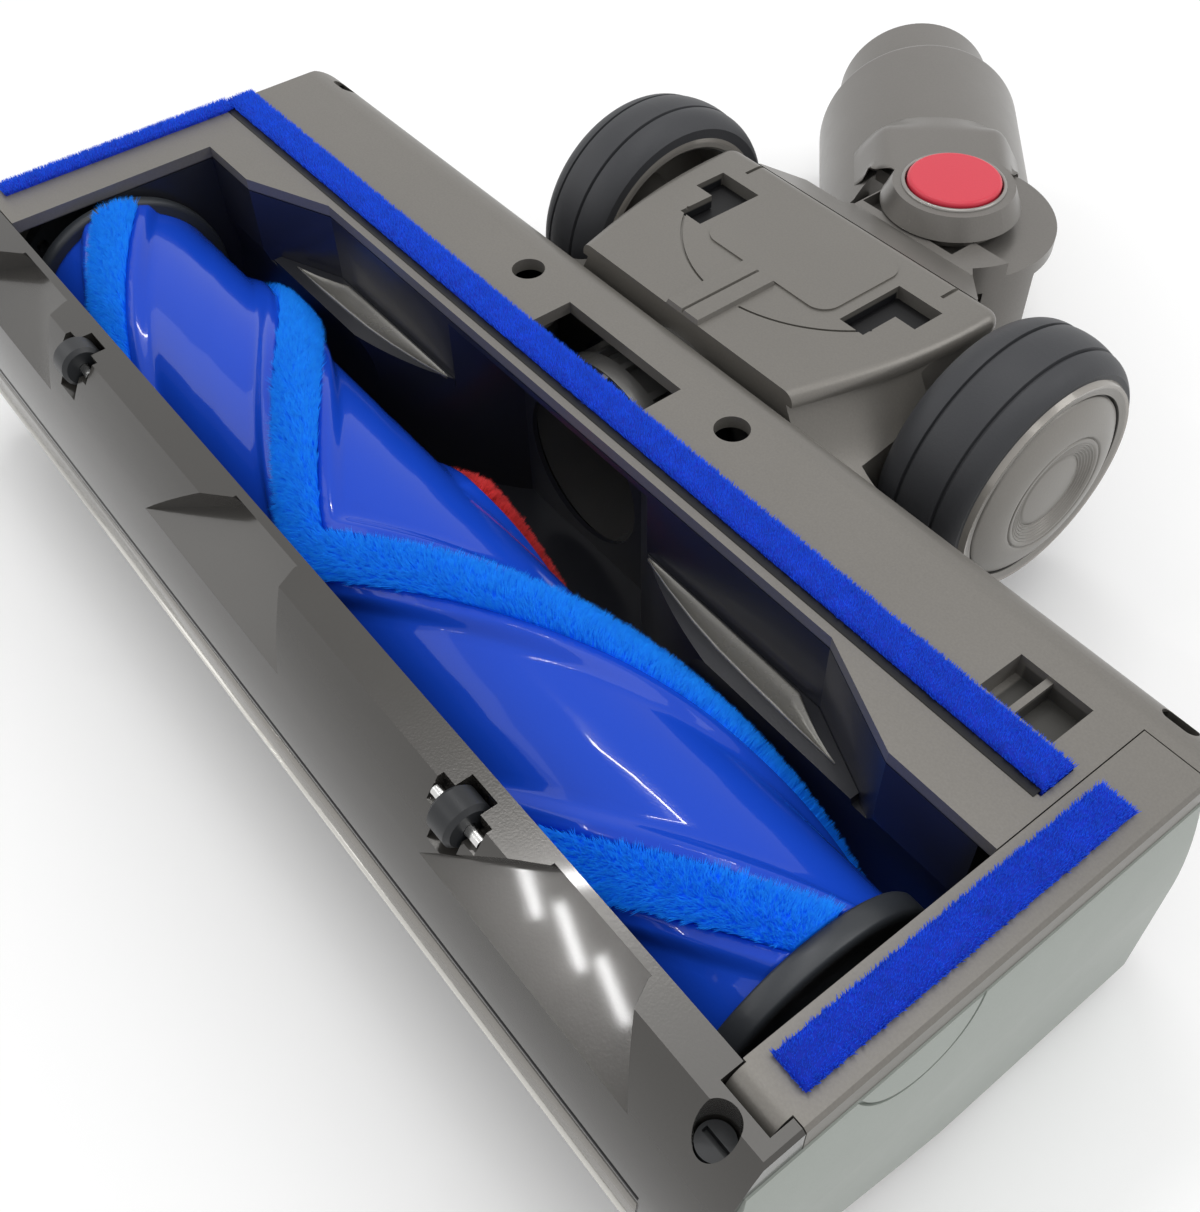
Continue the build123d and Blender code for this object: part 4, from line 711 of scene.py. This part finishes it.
def boss_saddle():
    """Saddle from the neck boss to the tube: over polar steps round the swivel axis its height goes from the
    flat top of the cheek to the round of the tube, and never below the drum while it is over it."""
    inner, outer, half_width, half_swing = 14.0, 37.0, 19.5, 44.0
    flat_sides, flat_end, drum_edge = (11.2, 19.0), (27.9, outer), (22.9, 24.4)
    proud, over_drum_top, depth = 0.15, 0.9, 0.5
    swing = np.radians(np.linspace(-half_swing, half_swing, 45))
    share = np.linspace(0, 1, 25)
    gs, gu = np.meshgrid(swing, share, indexing="ij")
    reach = np.minimum(outer, half_width / np.maximum(np.abs(np.sin(gs)), 0.3))
    rho = inner + gu * (reach - inner)
    s, side = rho * np.cos(gs), rho * np.sin(gs)
    round_z = TUBE_Z + np.sqrt(TUBE_R ** 2 - side ** 2) - proud
    flat = (1 - ease(np.abs(side), *flat_sides)) * (1 - ease(s, *flat_end))
    top = round_z + (CHEEK_Z + proud - round_z) * flat
    over_drum = 1 - ease(rho, *drum_edge)
    top = np.maximum(top, over_drum * (DRUM_Z + over_drum_top) + (1 - over_drum) * top)
    turn = math.radians(TUBE_TURN)
    x = -math.sin(turn) * s + math.cos(turn) * side
    y = PIVOT_Y + math.cos(turn) * s + math.sin(turn) * side
    add_shell("boss_saddle", thick(np.stack([x, y, top], -1), depth), neck_grey, "tube")


def button_ring():
    """Thin raised ring round the release button: a closed profile turned about the swivel axis."""
    profile = [(-0.3, 10.0), (0.3, 10.0), (0.5, 10.2), (0.5, 10.5), (0.3, 10.8), (-0.3, 11.0)]
    rings = spun(profile)[:, :, [1, 2, 0]] + [0, PIVOT_Y, BOSS_Z]
    faces = grid_faces(*rings.shape[:2], wrap_u=True, wrap_v=True)
    add_piece("button_ring", rings.reshape(-1, 3), faces, rim_grey, "tube", shell=True)


for side, label in ((-1, "left"), (1, "right")):
    hub_cap(side, "hub_cap_" + label, label + "_wheel")
    ledge(side, "ledge_" + label)
    # dark sheets of painted shade under the carriage plate's windows
    window_shade_sheet(side, "window_shade_sheet_" + label)
visor_band("visor_trim", (-0.6, 0.3, 0.45, 0.45, 0.45, 0.45, 0.3, -0.6), 0.8, 7.2, trim_grey)
# painted shade: a dark strip along the joint above the trim, for the shade in that groove
visor_band("visor_seam_shade", (-0.5, 0.07, 0.07, -0.5), 7.2, 8.8, painted_shade_black)
# painted highlight: a bright bead along the foot of the visor
visor_band("visor_highlight_bead", (-0.6, 0.5, 0.8, 0.8, 0.5, -0.6), -0.1, 1.1, bead_painted_highlight)
# painted shade along the front edge of the rear velvet
velvet_shade_strip()
boss_saddle()
button_ring()
brush_core()
brush_hub(-1, "brush_hub_left")
brush_hub(1, "brush_hub_right")
bristle_strip("bristle_strip_blue_a", bristle_blue, "bristle_blue", 11)
bristle_strip("bristle_strip_blue_b", bristle_blue, "bristle_blue", 12)
bristle_strip("bristle_strip_red", bristle_red, "bristle_red", 13)
velvet_strip("rear_velvet", 21)
velvet_strip("end_velvet", 22, fuller=0.6)
velvet_strip("left_velvet", 23, fuller=0.6)


# Floor, light and camera, placed in metres

FLOOR_HALF = 4.0
FLOOR_MIDDLE = (0.0, 0.06, 0.0)
WHITE_FROM, WHITE_TO = 0.15, 0.40    # distance from the middle at which the floor turns to plain white
WORLD_LIGHT, WORLD_SEEN = 0.65, 1.0
STREAK = ((0.085, -0.022, 0.051), (0.07, 0.012), 0.16)
LAMPS = {                     # place, target, width and height, power in watts
    "window": ((0.7, 0.9, 1.1), (0, 0.05, 0.03), (0.8, 0.8), 4.5),
    "overhead": ((0.1, 0.15, 1.4), (0, 0.05, 0.03), (1.2, 0.7), 4.5),
    "front": ((-0.9, -0.5, 0.8), (0, 0.0, 0.03), (0.8, 0.6), 1.6),
    "tube": ((-0.5, 0.33, 1.28), (0.073, 0.0, 0.05), (0.36, 0.018), 1.5),
    "streak_0": ((-0.43, -0.775, 0.83), *STREAK),
    "streak_1": ((-0.37, -0.797, 0.85), *STREAK),
    "streak_2": ((-0.31, -0.819, 0.87), *STREAK),
}
CAMERA_PLACE = (0.1526, -0.0675, 0.2130)
CAMERA_RIGHT = (0.6157, 0.7877, -0.0210)
CAMERA_UP = (-0.5922, 0.4801, 0.6472)
CAMERA_BACK = (0.5199, -0.3860, 0.7621)
SENSOR, LENS = 36.0, 40.28    # millimetres


def seen_directly(tree):
    """1 for rays from the camera, a reflection or glass, and 0 for light that falls on the object."""
    path = tree.nodes.new("ShaderNodeLightPath")
    seen = math_node(tree, "MAXIMUM", path.outputs["Is Camera Ray"], path.outputs["Is Glossy Ray"])
    return math_node(tree, "MAXIMUM", seen, path.outputs["Is Transmission Ray"])


def build_stage():
    """Pale floor that keeps the object's shadow, and is seen as plain white away from the object."""
    mesh = bpy.data.meshes.new("floor")
    corners = np.array([[-1, -1, 0], [1, -1, 0], [1, 1, 0], [-1, 1, 0]]) * FLOOR_HALF
    mesh.from_pydata(corners.tolist(), [], [[0, 1, 2, 3]])
    mat, tree, bsdf = new_material("floor_white")
    set_inputs(bsdf, {"Base Color": (0.98, 0.98, 0.98, 1.0), "Roughness": 0.6, "Specular IOR Level": 0.2})
    away = tree.nodes.new("ShaderNodeVectorMath")
    away.operation = "DISTANCE"
    away.inputs[1].default_value = FLOOR_MIDDLE
    tree.links.new(find_node(tree, "TEX_COORD").outputs["Object"], away.inputs[0])
    far = tree.nodes.new("ShaderNodeMapRange")
    far.interpolation_type = "SMOOTHSTEP"
    set_inputs(far, {"From Min": WHITE_FROM, "From Max": WHITE_TO})
    tree.links.new(away.outputs["Value"], far.inputs["Value"])
    white = tree.nodes.new("ShaderNodeEmission")
    mix = tree.nodes.new("ShaderNodeMixShader")
    tree.links.new(math_node(tree, "MULTIPLY", seen_directly(tree), far.outputs["Result"]), mix.inputs["Fac"])
    tree.links.new(bsdf.outputs["BSDF"], mix.inputs[1])
    tree.links.new(white.outputs["Emission"], mix.inputs[2])
    tree.links.new(mix.outputs["Shader"], find_node(tree, "OUTPUT_MATERIAL").inputs["Surface"])
    mesh.materials.append(mat)
    floor = bpy.data.objects.new("floor", mesh)
    bpy.context.scene.collection.objects.link(floor)


def place_with_axes(obj, right, up, back, place):
    """Puts a lamp or a camera at a place, turned to its three axes."""
    pose = np.eye(4)
    pose[:3] = np.column_stack([right, up, back, place])
    obj.matrix_world = Matrix(pose.tolist())
    bpy.context.scene.collection.objects.link(obj)


def add_softbox(name, place, target, size, power):
    """A rectangular area lamp at a place, facing a target."""
    lamp = bpy.data.lights.new(name, "AREA")
    lamp.shape = "RECTANGLE"
    lamp.size, lamp.size_y = size
    lamp.energy = power
    toward = np.array(target) - np.array(place)
    toward = toward / np.linalg.norm(toward)
    side = np.cross(toward, [0, 0, 1.0])
    side = side / np.linalg.norm(side)
    place_with_axes(bpy.data.objects.new(name, lamp), side, np.cross(side, toward), -toward, place)


def build_light():
    """Soft white surroundings, seen as plain white by the camera and in reflections, three softboxes, and narrow
    lamps that draw bright lines on glossy pieces."""
    world = bpy.data.worlds.new("studio")
    bpy.context.scene.world = world
    world.use_nodes = True
    tree = world.node_tree
    tree.nodes.clear()
    out = tree.nodes.new("ShaderNodeOutputWorld")
    back = tree.nodes.new("ShaderNodeBackground")
    extra = math_node(tree, "MULTIPLY", seen_directly(tree), WORLD_SEEN - WORLD_LIGHT)
    tree.links.new(math_node(tree, "ADD", extra, WORLD_LIGHT), back.inputs["Strength"])
    back.inputs["Color"].default_value = (1.0, 1.0, 1.0, 1.0)
    tree.links.new(back.outputs["Background"], out.inputs["Surface"])
    for name, lamp in LAMPS.items():
        add_softbox(name, *lamp)


def build_camera():
    """The photograph's viewpoint: place and axes solved from the straight edges of the sole."""
    cam = bpy.data.cameras.new("camera")
    cam.sensor_fit = "AUTO"
    cam.sensor_width = SENSOR
    cam.lens = LENS
    cam.clip_start = 0.01
    obj = bpy.data.objects.new("camera", cam)
    place_with_axes(obj, CAMERA_RIGHT, CAMERA_UP, CAMERA_BACK, CAMERA_PLACE)
    bpy.context.scene.camera = obj


build_stage()
build_light()
build_camera()
bpy.context.scene.view_settings.view_transform = "Standard"

bpy.context.view_layer.update()
